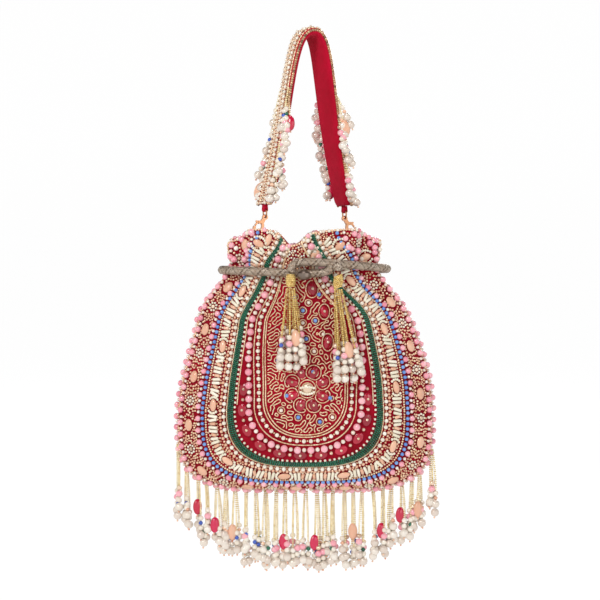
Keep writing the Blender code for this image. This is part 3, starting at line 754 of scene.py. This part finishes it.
def lift_to_cloth(x, z, cloud):
    """Points on the cloth at x, z with the outward direction there."""
    tree, at, out = cloud
    points, normals = [], []
    for px, pz in zip(np.atleast_1d(x), np.atleast_1d(z)):
        found = tree.find_n((px, pz, 0), 3)
        near = [f[1] for f in found]
        weight = np.array([1 / (f[2] + 0.05) for f in found])
        weight /= weight.sum()
        base = (at[near] * weight[:, None]).sum(0)
        normal = unit((out[near] * weight[:, None]).sum(0))
        points.append((px, base[1], pz))
        normals.append(normal)
    return np.array(points), np.array(normals)


def maze_field(x, z, spots):
    """A field whose zero lines wander like vermicelli stitching and ring each spot."""
    waves = np.random.default_rng(5)
    length = 5.0
    field = np.zeros_like(x)
    for _ in range(26):
        a, p = waves.uniform(0, math.pi), waves.uniform(0, 2 * math.pi)
        k = 2 * math.pi / length * waves.uniform(0.86, 1.14)
        field += np.cos(k * (x * math.cos(a) + z * math.sin(a)) + p)
    field /= math.sqrt(13)
    for sx, sz, rx, rz in spots:
        reach = np.hypot((x - sx) / rx, (z - sz) / rz)
        mean = (rx + rz) / 2
        near = np.exp(-(((reach - 1) * mean / 3.0) ** 2)) + (reach < 1)
        near = np.clip(near, 0, 1)
        rings = np.cos(2 * math.pi * ((reach - 1) * mean - 1.0) / length + math.pi / 2)
        field = field * (1 - near) + near * 1.5 * rings
    return field


def zero_lines(field, xs, zs, inside):
    """The field's zero lines as chains of (x, z)."""
    links = {}
    spot = {}
    for i in range(len(xs) - 1):
        for j in range(len(zs) - 1):
            if not (inside[i, j] and inside[i + 1, j] and inside[i, j + 1] and inside[i + 1, j + 1]):
                continue
            corners = [(i, j), (i + 1, j), (i + 1, j + 1), (i, j + 1)]
            hits = []
            for a, b in zip(corners, corners[1:] + corners[:1]):
                fa, fb = field[a], field[b]
                if (fa > 0) != (fb > 0):
                    key = (min(a, b), max(a, b))
                    s = fa / (fa - fb)
                    spot[key] = (xs[a[0]] + (xs[b[0]] - xs[a[0]]) * s, zs[a[1]] + (zs[b[1]] - zs[a[1]]) * s)
                    hits.append(key)
            for a, b in zip(hits[::2], hits[1::2]):
                links.setdefault(a, []).append(b)
                links.setdefault(b, []).append(a)
    chains = []
    while links:
        ends = [k for k, v in links.items() if len(v) == 1]
        at = ends[0] if ends else next(iter(links))
        chain = [at]
        while links.get(at):
            after = links[at].pop()
            if not links[at]:
                del links[at]
            links[after].remove(at)
            if not links[after]:
                del links[after]
            chain.append(after)
            at = after
        chains.append(np.array([spot[k] for k in chain]))
    return [c for c in chains if len(c) > 3]


def along_chain(chain, step):
    length = np.concatenate([[0], np.cumsum(np.linalg.norm(np.diff(chain, axis=0), axis=1))])
    count = max(1, int(length[-1] / step))
    places = np.linspace(0, length[-1], count + 1)
    return np.stack([np.interp(places, length, chain[:, k]) for k in (0, 1)], -1)


# Middle panel, in mm: the flower's centre, then stones (x, z, half-width, half-height, lean in degrees).
FLOWER = (2.0, -316.0)
PETALS = 8
BLUE_SPOTS = ((9, -256), (-24, -291), (1, -272), (7, -301), (-16, -322), (22, -324), (-6, -341))
BLUE_SPOTS += ((13, -345), (-2, -247), (-9, -235), (12, -233))
PEARL_SPOTS = ((-18, -262), (8, -283), (-14, -277), (16, -268), (-21, -335), (24, -341), (-2, -258))
PEARL_SPOTS += ((3, -240),)
STONES = (
    (-17, -276, 4.0, 6.0, 35),
    (20, -275, 3.6, 6.0, -20),
    (6, -228, 4.0, 6.0, 20),
    (-13, -250, 3.4, 5.2, -20),
    (17, -248, 3.4, 5.2, 25),
)


def middle_panel(group, back):
    xs, zs = np.arange(-46, 46, 0.8), np.arange(-372, -214, 0.8)
    gx, gz = np.meshgrid(xs, zs, indexing="ij")
    cx, cz = FLOWER
    spots = [(x, z, 2.2, 2.2) for x, z in BLUE_SPOTS] + [(x, z, 2.2, 2.2) for x, z in PEARL_SPOTS]
    spots += [(x, z, rx + 0.6, rz + 0.6) for x, z, rx, rz, _ in STONES]
    petals = []
    for k in range(PETALS):
        a = math.radians(90 + 360 / PETALS * (k + 0.5))
        petals.append((cx + 14.5 * math.cos(a), cz + 15.5 * math.sin(a), a))
    spots += [(x, z, 5.6, 5.6) for x, z, _ in petals]
    spots += [(cx, cz, 6.5, 7.0)]
    cloud = cloth_index(back)
    inside = panel_inside(gx, gz, back)
    field = maze_field(gx, gz, spots)
    for chain in zero_lines(field, xs, zs, inside):
        steps = along_chain(chain, 2.3)
        if len(steps) < 2:
            continue
        points, normals = lift_to_cloth(steps[:, 0], steps[:, 1], cloud)
        middle = (points[1:] + points[:-1]) / 2
        along = points[1:] - points[:-1]
        half = np.linalg.norm(along, axis=1) / 2
        out = unit(normals[1:] + normals[:-1])
        size = np.stack([half * 0.97, np.full(len(half), 0.5), np.full(len(half), 0.5)], -1)
        tray(group, "bugle", "bag").lay(BUGLE, middle + out * 0.45, along, out, size)
    sideways = np.array((1.0, 0, 0))
    for colour, places, radius in (("blue", BLUE_SPOTS, 1.9), ("pearl", PEARL_SPOTS, 1.8)):
        x, z = np.array(places, float).T
        points, normals = lift_to_cloth(x, z, cloud)
        tray(group, colour, "bag").lay(BEAD, points + normals * radius * 0.8, sideways, normals, radius)
    for x, z, rx, rz, lean in STONES:
        stone(group, x, z, rx, rz, math.radians(lean), cloud)
    for x, z, a in petals:
        stone(group, x, z, 3.7, 5.8, a - math.pi / 2, cloud)
    points, normals = lift_to_cloth(np.array([cx]), np.array([cz]), cloud)
    tray(group, "crystal", "bag").lay(PEARL, points + normals * 1.6, sideways, normals, (4.4, 5.0, 2.4))
    for k in range(-3, 4):
        for high in (-1, 1):
            x = cx + k * 1.9
            z = cz + high * (4.6 - 0.18 * k * k) if high < 0 else cz + 1.6 - 0.1 * k * k
            points, normals = lift_to_cloth(np.array([x]), np.array([z]), cloud)
            tray(group, "white", "bag").lay(BEAD, points + normals * 3.2, sideways, normals, 1.25)


def stone(group, x, z, rx, rz, lean, cloud):
    points, normals = lift_to_cloth(np.array([x]), np.array([z]), cloud)
    up = np.array((-math.sin(lean), 0, math.cos(lean)))
    tray(group, "red", "bag").lay(PEARL, points + normals * 0.9, up, normals, (rz, rx, 1.8))
    tray(group, "crystal", "bag").lay(BEAD, points + normals * 2.9, up, normals, 1.25)


def seam_beads():
    t = spaced(1.0, False, [6.0, 3.8])
    at = pouch(np.full(len(t), 1.0), t, False)
    before = pouch(np.full(len(t), 1.0), t - 0.002, False)
    after = pouch(np.full(len(t), 1.0), t + 0.002, False)
    along = unit(after - before)
    out = unit(np.cross(along, np.array((0.0, 1.0, 0.0))))
    out *= np.sign(np.sum(out * (at - np.array((0, 0, -300.0))), -1, keepdims=True))
    tray("seam", "pink", "bag").lay(PEARL, (at + out * 1.4)[::2], along[::2], out[::2], 2.9)
    tray("seam", "pearl", "bag").lay(BEAD, (at + out * 1.0)[1::2], along[1::2], out[1::2], 1.6)


# ---------------------------------------------------------------- strings of beads
ENDINGS = (
    ("small", "blue", "small", "large"),
    ("small", "pink", "small", "large"),
    ("small", "green", "small", "large"),
    ("small", "small", "large"),
    ("crystal", "pink", "small", "large"),
    ("small", "copper", "large", "large"),
)
BEADS = {
    "small": ("pearl", BEAD, (2.5, 2.5, 2.5)),
    "large": ("blush_pearl", PEARL, (3.8, 3.8, 3.8)),
    "blue": ("navy", BEAD, (1.9, 2.0, 2.0)),
    "green": ("green", BEAD, (1.9, 2.0, 2.0)),
    "pink": ("pink", BEAD, (3.0, 3.2, 3.2)),
    "copper": ("copper", BEAD, (1.7, 1.9, 1.9)),
    "crystal": ("crystal", BEAD, (2.3, 2.6, 2.6)),
    "magenta": ("magenta", PEARL, (7.2, 4.2, 2.6)),
    "peach": ("peach", PEARL, (7.4, 4.2, 2.8)),
}


def bead_string(group, body, top, foot, ending, bow=0.0, seed=1.15, thread="string"):
    """Seed beads on a thread from top to foot in mm, ending in a cluster and a tiny bead."""
    top, foot = np.array(top, float), np.array(foot, float)
    down = unit(foot - top)
    side = unit(np.cross(down, np.array((0.0, 1.0, 0.0))) + 1e-6)
    length = float(np.linalg.norm(foot - top))
    cluster = [BEADS[name] for name in ending]
    tail = sum(2 * size[0] for _, _, size in cluster) + 2.0
    run = max(length - tail, 2.0)
    count = max(1, int(run / (seed * 1.62)))
    share = (np.arange(count) + 0.5) / count
    bend = bow * np.sin(math.pi * share * run / length)
    at = top + down * (share * run)[:, None] + side * bend[:, None]
    front = np.array((0.0, -1.0, 0.0))
    tray(group, thread, body).lay(SEED, at, down, front, (seed * 0.85, seed, seed))
    place = run
    turn = rng.uniform(-0.5, 0.5)
    face = np.array((math.sin(turn), -math.cos(turn), 0.0))
    for colour, shape, size in cluster:
        place += size[0]
        spot = top + down * place + side * bow * math.sin(math.pi * place / length)
        tray(group, colour, body).lay(shape, spot, down, face, size)
        place += size[0]
    tray(group, "copper", body).lay(SEED, top + down * (place + 0.8), down, front, 1.0)


def edge_height(x, outside):
    half = np.where(x < 0, POUCH_SIDES[-1][1], POUCH_SIDES[-1][2]) + outside
    drop = CORNER_HEIGHT + outside
    share = np.minimum(1.0, np.abs(x) / half)
    return POUCH_BOTTOM + CORNER_HEIGHT - drop * (1 - share**SEAM_BEND) ** (1 / SEAM_BEND)


# The fringe's front strings that end in a stone, counted from the left.
FRINGE_STONES = {k: ("magenta",) for k in (2, 4, 11, 14, 21, 23)}
FRINGE_STONES.update({k: ("peach",) for k in (6, 18, 25)})


def fringe():
    """Strings in pairs from one stitch, in a front and a back layer along the seam."""
    anchors = 27
    shifts = rng.normal(0, 0.9, anchors)
    for layer, depth in ((0, -2.2), (1, 2.2)):
        for k in range(anchors):
            share = (k + 0.25) / (anchors - 0.5)
            x = FRINGE_LEFT + (FRINGE_RIGHT - FRINGE_LEFT) * share + shifts[k] * (0 < k < anchors - 1)
            start = float(min(edge_height(np.array(x), 1.0), -352)) - 1.0
            for twin in (-1, 1):
                spread = rng.uniform(0.4, 2.6)
                drape = 1 - 0.10 * abs(x / 116) ** 3
                end = FRINGE_END * drape + rng.uniform(0, 15)
                ending = ENDINGS[int(rng.integers(0, 6))]
                if layer == 0 and twin == -1:
                    end += 13 * (k in FRINGE_STONES)
                    ending = FRINGE_STONES.get(k, ending)
                foot = (x + twin * spread + rng.normal(0, 0.6), depth + rng.normal(0, 0.8), end)
                top = (x + twin * 0.9, depth * 0.6, start)
                bead_string("fringe", "bag", top, foot, ending, rng.normal(0, 0.9), 1.1)


def tassels():
    leans = {"left": (0.02, -0.07), "right": (0.13, -0.09)}
    reach = {"left": 88, "right": 98}
    for side, top in TASSEL_TOPS.items():
        body = "tassel_" + side
        base = np.array(top, float) - (0, 0, CAP_HEIGHT + 0.5)
        for k in range(12):
            column, layer = k % 4 - 1.5, k // 4 - 1
            start = base + (column * 1.9, layer * 2.0, 0)
            length = reach[side] - CAP_HEIGHT - (k * 7 % 5) * 4.0
            lean = np.array((leans[side][0] + column * 0.075, leans[side][1] + layer * 0.045, -1.0))
            ending = (ENDINGS[k % 6] if k != 2 else ("peach", "small")) + (("large",) if k % 3 == 0 else ())
            foot = start + unit(lean) * length
            bead_string("tassel_" + side, body, start, foot, ending, rng.normal(0, 1.2), 1.1, "gilt")
        cap_beads(side, top, body)


def cap_beads(side, top, body):
    """The cap: turns of seed beads wound round a core, slanting on the right one."""
    gold = tray("tassel_" + side, "gilt", body)
    middle = np.array(top, float) - (0, 0, CAP_HEIGHT / 2 + 0.3)
    gold.lay(PEARL, middle, UP, np.array((0, -1.0, 0)), (CAP_HEIGHT / 2 - 0.4, 3.0, 3.0))
    rows = 7
    slant = 0.0 if side == "left" else 0.42
    for r in range(rows):
        z = top[2] - 2.2 - r * (CAP_HEIGHT - 3.4) / (rows - 1)
        swell = CAP_RADIUS - 0.9 - 1.0 * ((r - (rows - 1) / 2) / (rows / 2)) ** 2
        a = 2 * math.pi * (np.arange(15) + 0.5 * (r % 2)) / 15
        ring = [top[0] + swell * np.cos(a), top[1] + swell * np.sin(a), z + slant * swell * np.cos(a)]
        out = np.stack([np.cos(a), np.sin(a), 0 * a], -1)
        around = np.stack([-np.sin(a), np.cos(a), 0 * a], -1)
        gold.lay(BEAD, np.stack(ring, -1), around, out, (1.0, 0.95, 0.95))


# ---------------------------------------------------------------- strap
def leg_point(share):
    t = np.abs(share)
    a, b, c, d = (1 - t) ** 3, 3 * (1 - t) ** 2 * t, 3 * (1 - t) * t * t, t**3
    s, z = (a * p + b * q + c * r + d * e for p, q, r, e in zip(*LEG_CURVE))
    return np.where(share < 0, -s, s) + LEG_SKEW * (1 - t), z


def strap_frames(share):
    """The strap's middle, its width direction and its outward direction, all in mm."""
    share = np.atleast_1d(np.asarray(share, float))
    s, z = leg_point(share)
    s2, z2 = leg_point(np.minimum(1, share + 0.01))
    s1, z1 = leg_point(np.maximum(-1, share - 0.01))
    tangent = unit(ALONG * (s2 - s1)[:, None] + UP * (z2 - z1)[:, None])
    twist = STRAP_TWIST * np.sin(math.pi * share)
    cos, sin = np.cos(twist)[:, None], np.sin(twist)[:, None]
    x = ACROSS[0] * cos[:, 0] - ACROSS[1] * sin[:, 0]
    y = ACROSS[0] * sin[:, 0] + ACROSS[1] * cos[:, 0]
    turned = np.stack([x, y, 0 * s], -1)
    outward = unit(np.cross(tangent, turned))
    outward *= np.sign(np.sum(outward * (ALONG * s[:, None] + UP * 20), -1, keepdims=True))
    wide = unit(np.cross(outward, tangent))
    return ALONG * s[:, None] + UP * z[:, None], wide, outward, tangent


def even_shares(count):
    """Shares of the strap's length, evenly spaced along it."""
    dense = np.linspace(-1, 1, 800)
    middle = strap_frames(dense)[0]
    length = np.concatenate([[0], np.cumsum(np.linalg.norm(np.diff(middle, axis=0), axis=1))])
    return np.interp(np.linspace(0, length[-1], count), length, dense), length[-1]


def tube_faces(rings, sides):
    """Triangles of a tube from its rings of points, closed at both ends."""
    index = np.arange(rings * sides).reshape(rings, sides)
    after = np.roll(index, -1, axis=1)
    quads = np.stack([index[:-1], after[:-1], after[1:], index[1:]], -1).reshape(-1, 4)
    fan = np.array([(0, k + 1, k) for k in range(1, sides - 1)])
    last = (rings - 1) * sides
    return np.concatenate([quads[:, [0, 1, 2]], quads[:, [0, 2, 3]], fan, fan[:, ::-1] + last])


def strap_band():
    steps, sides = 150, 36
    share, _ = even_shares(steps + 1)
    middle, wide, outward, _ = strap_frames(share)
    a = 2 * math.pi * (np.arange(sides) + 0.5) / sides
    u = np.sign(np.cos(a)) * np.abs(np.cos(a)) ** 0.45 * STRAP_WIDTH / 2
    v = np.sign(np.sin(a)) * np.abs(np.sin(a)) ** 0.6 * STRAP_THICK / 2
    ends = np.ones(steps + 1)
    ends[[0, -1]], ends[[1, -2]], ends[[2, -3]] = 0.80, 0.93, 0.985
    section = wide[:, None] * u[None, :, None] + outward[:, None] * v[None, :, None]
    rings = middle[:, None] + ends[:, None, None] * section
    points = rings.reshape(-1, 3)
    faces = tube_faces(steps + 1, sides)
    made = build("strap_cloth", points, faces, STRAP_VELVET, "strap")
    weld(made)
    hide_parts("strap_band")


def strap_rows():
    """Bead rows along the strap's outer face, between two edge lines of bugles."""
    _, length = even_shares(2)

    def run(colour, u, pitch, radius, shape=SEED, stretch=1.0, every=1, start=0, wave=0.0):
        share, _ = even_shares(int(length / pitch) + 1)
        share = share[start::every]
        middle, wide, outward, tangent = strap_frames(share)
        shift = u + wave * np.sin(np.arange(len(share)) * 1.3)
        crown = np.maximum(0, 1 - np.abs(shift) ** 4) ** 0.3
        rise = (crown * STRAP_THICK / 2 + radius * 0.5)[:, None]
        at = middle + wide * (shift * STRAP_WIDTH / 2)[:, None] + outward * rise
        tray("strap", colour, "strap").lay(shape, at, tangent, outward, (radius * stretch, radius, radius))

    for side in (-1, 1):
        run("bronze", 1.02 * side, 2.1, 1.35, BEAD)
        run("bugle", 0.90 * side, 2.9, 0.65, BUGLE, 2.1)
        run("bronze", 0.78 * side, 2.0, 0.95)
        run("pearl", 0.60 * side, 4.4, 1.6, BEAD)
        run("bugle", 0.45 * side, 2.9, 0.55, BUGLE, 2.3)
        run("gold", 0.33 * side, 1.9, 0.9)
        run("white", 0.19 * side, 2.6, 1.0, SEED, 1.0, 1, 0, 0.05)
    run("gold", 0.08, 2.1, 0.95, SEED, 1.0, 1, 0, 0.06)
    run("bronze", -0.08, 2.1, 0.95, SEED, 1.0, 1, 0, 0.06)


# By leg, left or right, and edge, front or back: how far the strings spread to the right in mm, and the
# string that ends in a stone.
STRING_FANS = {(-1, -1): (-9, 5), (-1, 1): (-14, -2), (1, -1): (2, 13), (1, 1): (-5, 1)}
STRING_STONES = {
    (-1, -1): ("magenta", 1),
    (-1, 1): ("peach", 11),
    (1, -1): ("peach", 0),
    (1, 1): ("magenta", 12),
}


def strap_strings():
    """Strings that hang from both edges of both legs and fan away from them."""
    for side in (-1, 1):
        for edge in (-1, 1):
            count = 13
            for k in range(count):
                share = 0.55 + 0.36 * (k + rng.uniform(0, 0.7)) / count
                middle, wide, outward, _ = strap_frames(side * share)
                direction = wide[0] if wide[0] @ ACROSS > 0 else -wide[0]
                top = middle[0] + direction * edge * (STRAP_WIDTH / 2 - 0.5)
                top = top + outward[0] * rng.uniform(1.0, 4.0)
                length = min(rng.uniform(28, 48), top[2] + 155 - 7 * (edge > 0))
                fan = direction * edge * rng.uniform(1.5, 6.0) + ALONG * rng.uniform(*STRING_FANS[side, edge])
                ending = ENDINGS[int(rng.integers(0, 6))]
                if k == STRING_STONES[side, edge][1]:
                    ending = STRING_STONES[side, edge][:1]
                bead_string("strap_string", "strap", top, top + fan - UP * length, ending, 0.0, 1.05)


# ---------------------------------------------------------------- drawstring
DRAWSTRING_ROUTE = (
    (-12.6, -45.5, -212.6),
    (-11.0, -46.0, -207.5),
    (-3.0, -44.5, -204.5),
    (10.0, -41.5, -204.5),
    (28.0, -38.0, -205.5),
    (52.0, -29.0, -207.5),
    (70.0, -13.0, -209.0),
    (73.5, 3.0, -209.5),
    (66.0, 20.0, -209.5),
    (44.0, 33.0, -209.5),
    (15.0, 39.5, -209.5),
    (-15.0, 39.5, -209.5),
    (-44.0, 33.5, -209.5),
    (-66.0, 20.5, -210.0),
    (-74.5, 3.0, -210.5),
    (-70.0, -14.0, -211.0),
    (-51.0, -29.5, -212.0),
    (-28.0, -37.5, -213.0),
    (-10.0, -37.0, -214.0),
    (8.0, -38.0, -214.0),
    (20.0, -41.5, -212.0),
    (26.0, -44.5, -207.0),
    (29.0, -44.8, -208.0),
    (29.0, -44.5, -211.6),
)


def smooth_route(points, count):
    guide = bpy.data.curves.new("route", "CURVE")
    guide.dimensions = "3D"
    spline = guide.splines.new("BEZIER")
    spline.bezier_points.add(len(points) - 1)
    for knot, p in zip(spline.bezier_points, points):
        knot.co = p
        knot.handle_left_type = knot.handle_right_type = "AUTO"
    guide.resolution_u = 16
    made = bpy.data.objects.new("route", guide)
    dense = np.array([v.co for v in made.to_mesh().vertices])
    made.to_mesh_clear()
    bpy.data.objects.remove(made)
    length = np.concatenate([[0], np.cumsum(np.linalg.norm(np.diff(dense, axis=0), axis=1))])
    places = np.linspace(0, length[-1], count)
    return np.stack([np.interp(places, length, dense[:, k]) for k in range(3)], -1)


def tube(points, radius, sides):
    """(points, faces) of a round tube along a path, with closed ends."""
    n = len(points)
    tangent = unit(np.gradient(points, axis=0))
    first = np.zeros_like(points)
    carry = unit(np.cross(tangent[0], np.array((1.0, 0.2, 0.1))))
    for k in range(n):
        carry = unit(carry - tangent[k] * (carry @ tangent[k]))
        first[k] = carry
    second = np.cross(tangent, first)
    a = 2 * math.pi * np.arange(sides) / sides
    radius = np.broadcast_to(radius, n)
    ring = first[:, None] * np.cos(a)[None, :, None] + second[:, None] * np.sin(a)[None, :, None]
    verts = (points[:, None] + ring * radius[:, None, None]).reshape(-1, 3)
    return verts, tube_faces(n, sides), first, second


def drawstring():
    """Braided cord: a core with two families of threads that pass over and under each other."""
    steps = 380
    route = smooth_route(DRAWSTRING_ROUTE, steps)
    length = float(np.linalg.norm(np.diff(route, axis=0), axis=1).sum())
    core, faces, first, second = tube(route, CORD_RADIUS - 0.9, 10)
    all_verts, all_faces = [core], [faces]
    count = len(core)
    along = np.linspace(0, length, steps)
    threads = 8
    for family in (-1, 1):
        for k in range(threads):
            phase = 2 * math.pi * k / threads
            angle = family * 2 * math.pi * along / BRAID_PITCH + phase
            shift = family * phase * 2 + (0 if family > 0 else math.pi)
            weave = 0.28 * np.cos(threads * 2 * math.pi * along / BRAID_PITCH + shift)
            reach = CORD_RADIUS - 0.85 + weave
            path = route + (first * np.cos(angle)[:, None] + second * np.sin(angle)[:, None]) * reach[:, None]
            verts, faces, _, _ = tube(path, 0.78, 5)
            all_verts.append(verts)
            all_faces.append(faces + count)
            count += len(verts)
    verts, faces = np.concatenate(all_verts), np.concatenate(all_faces)
    made = build("drawstring_braid", verts, faces, LOOKS["zari"], "bag")
    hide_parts("drawstring")


# ---------------------------------------------------------------- CAD nodes that stay
def paint_nodes():
    for name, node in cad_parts.items():
        if name == "drawstring_bead":
            look = DARK_SILVER
        elif "_ring_" in name or name.startswith(("clasp", "gate_pin")):
            look = ROSE_GOLD
        elif name.startswith("gate_spring"):
            look = STEEL
        elif "_tab_" in name:
            look = STRAP_VELVET
        else:
            continue
        for place in node.material_slots:
            place.material = look


def stand_in(prefix):
    """The strings replace the CAD solids whose names start so."""
    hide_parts(*[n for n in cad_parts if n.startswith(prefix)])


# ---------------------------------------------------------------- studio
def studio():
    floor_z = CAD_BOX[0][2] - 0.035
    mesh = bpy.data.meshes.new("backdrop")
    around, turn = 48, 12
    bend = [math.pi / 2 * k / turn for k in range(turn + 1)]
    profile = [(0.02, 0.0)]
    profile += [(4.2 + 0.8 * math.sin(a), 0.8 - 0.8 * math.cos(a)) for a in bend]
    profile += [(5.0, 2.6)]
    verts, faces = [], []
    for reach, z in profile:
        for k in range(around):
            a = 2 * math.pi * k / around
            verts.append((reach * math.cos(a), reach * math.sin(a), floor_z + z))
    for r in range(len(profile) - 1):
        for k in range(around):
            after = (k + 1) % around
            low = r * around
            faces.append((low + k, low + around + k, low + around + after, low + after))
    faces.append(tuple(range(around)))
    mesh.from_pydata(verts, [], faces)
    mesh.shade_smooth()
    backdrop = bpy.data.objects.new("backdrop", mesh)
    bpy.context.scene.collection.objects.link(backdrop)
    made, _, shader = new_material("backdrop_white")
    shader.inputs["Base Color"].default_value = (0.05, 0.05, 0.05, 1)
    shader.inputs["Roughness"].default_value = 0.95
    shader.inputs["Emission Color"].default_value = (1, 1, 1, 1)
    shader.inputs["Emission Strength"].default_value = 0.95
    mesh.materials.append(made)
    world = bpy.data.worlds.new("studio")
    world.use_nodes = True
    world.node_tree.nodes["Background"].inputs["Color"].default_value = (1, 1, 1, 1)
    world.node_tree.nodes["Background"].inputs["Strength"].default_value = 0.1
    bpy.context.scene.world = world
    bpy.context.scene.view_settings.view_transform = "Standard"
    lamp("key", (-0.7, -1.4, 0.7), 0.5, 14)
    lamp("fill", (1.1, -1.3, 0.2), 0.7, 3)
    lamp("top", (0.0, -0.2, 1.1), 0.7, 4)
    lamp("rim", (0.5, 1.4, 0.4), 0.7, 8)


def lamp(name, place, size, power):
    data = bpy.data.lights.new(name, "AREA")
    data.shape = "DISK"
    data.size = size
    data.energy = power
    made = bpy.data.objects.new(name, data)
    made.location = place
    made.rotation_euler = (Vector((0, 0, -0.25)) - Vector(place)).to_track_quat("-Z", "Y").to_euler()
    bpy.context.scene.collection.objects.link(made)


def camera():
    data = bpy.data.cameras.new("camera")
    data.lens = 135
    width = 0.540
    distance = width * data.lens / data.sensor_width
    made = bpy.data.objects.new("camera", data)
    made.location = (-0.0045, -distance, -0.2376)
    made.rotation_euler = (math.pi / 2, 0, 0)
    bpy.context.scene.collection.objects.link(made)
    bpy.context.scene.camera = made


def main():
    camera()
    studio()
    make_pouch()
    for back in (False, True):
        group = "back" if back else "front"
        bands(group, back)
        middle_panel(group, back)
    seam_beads()
    fringe()
    tassels()
    strap_band()
    strap_rows()
    strap_strings()
    drawstring()
    for each in Tray.every.values():
        each.finish()
    stand_in("fringe_section")
    stand_in("tassel_left_strand")
    stand_in("tassel_right_strand")
    stand_in("tassel_cap_left")
    stand_in("tassel_cap_right")
    stand_in("strap_strand")
    paint_nodes()
    total = sum(len(each.faces) and sum(map(len, each.faces)) for each in Tray.every.values())
    print("bead triangles", total)


main()
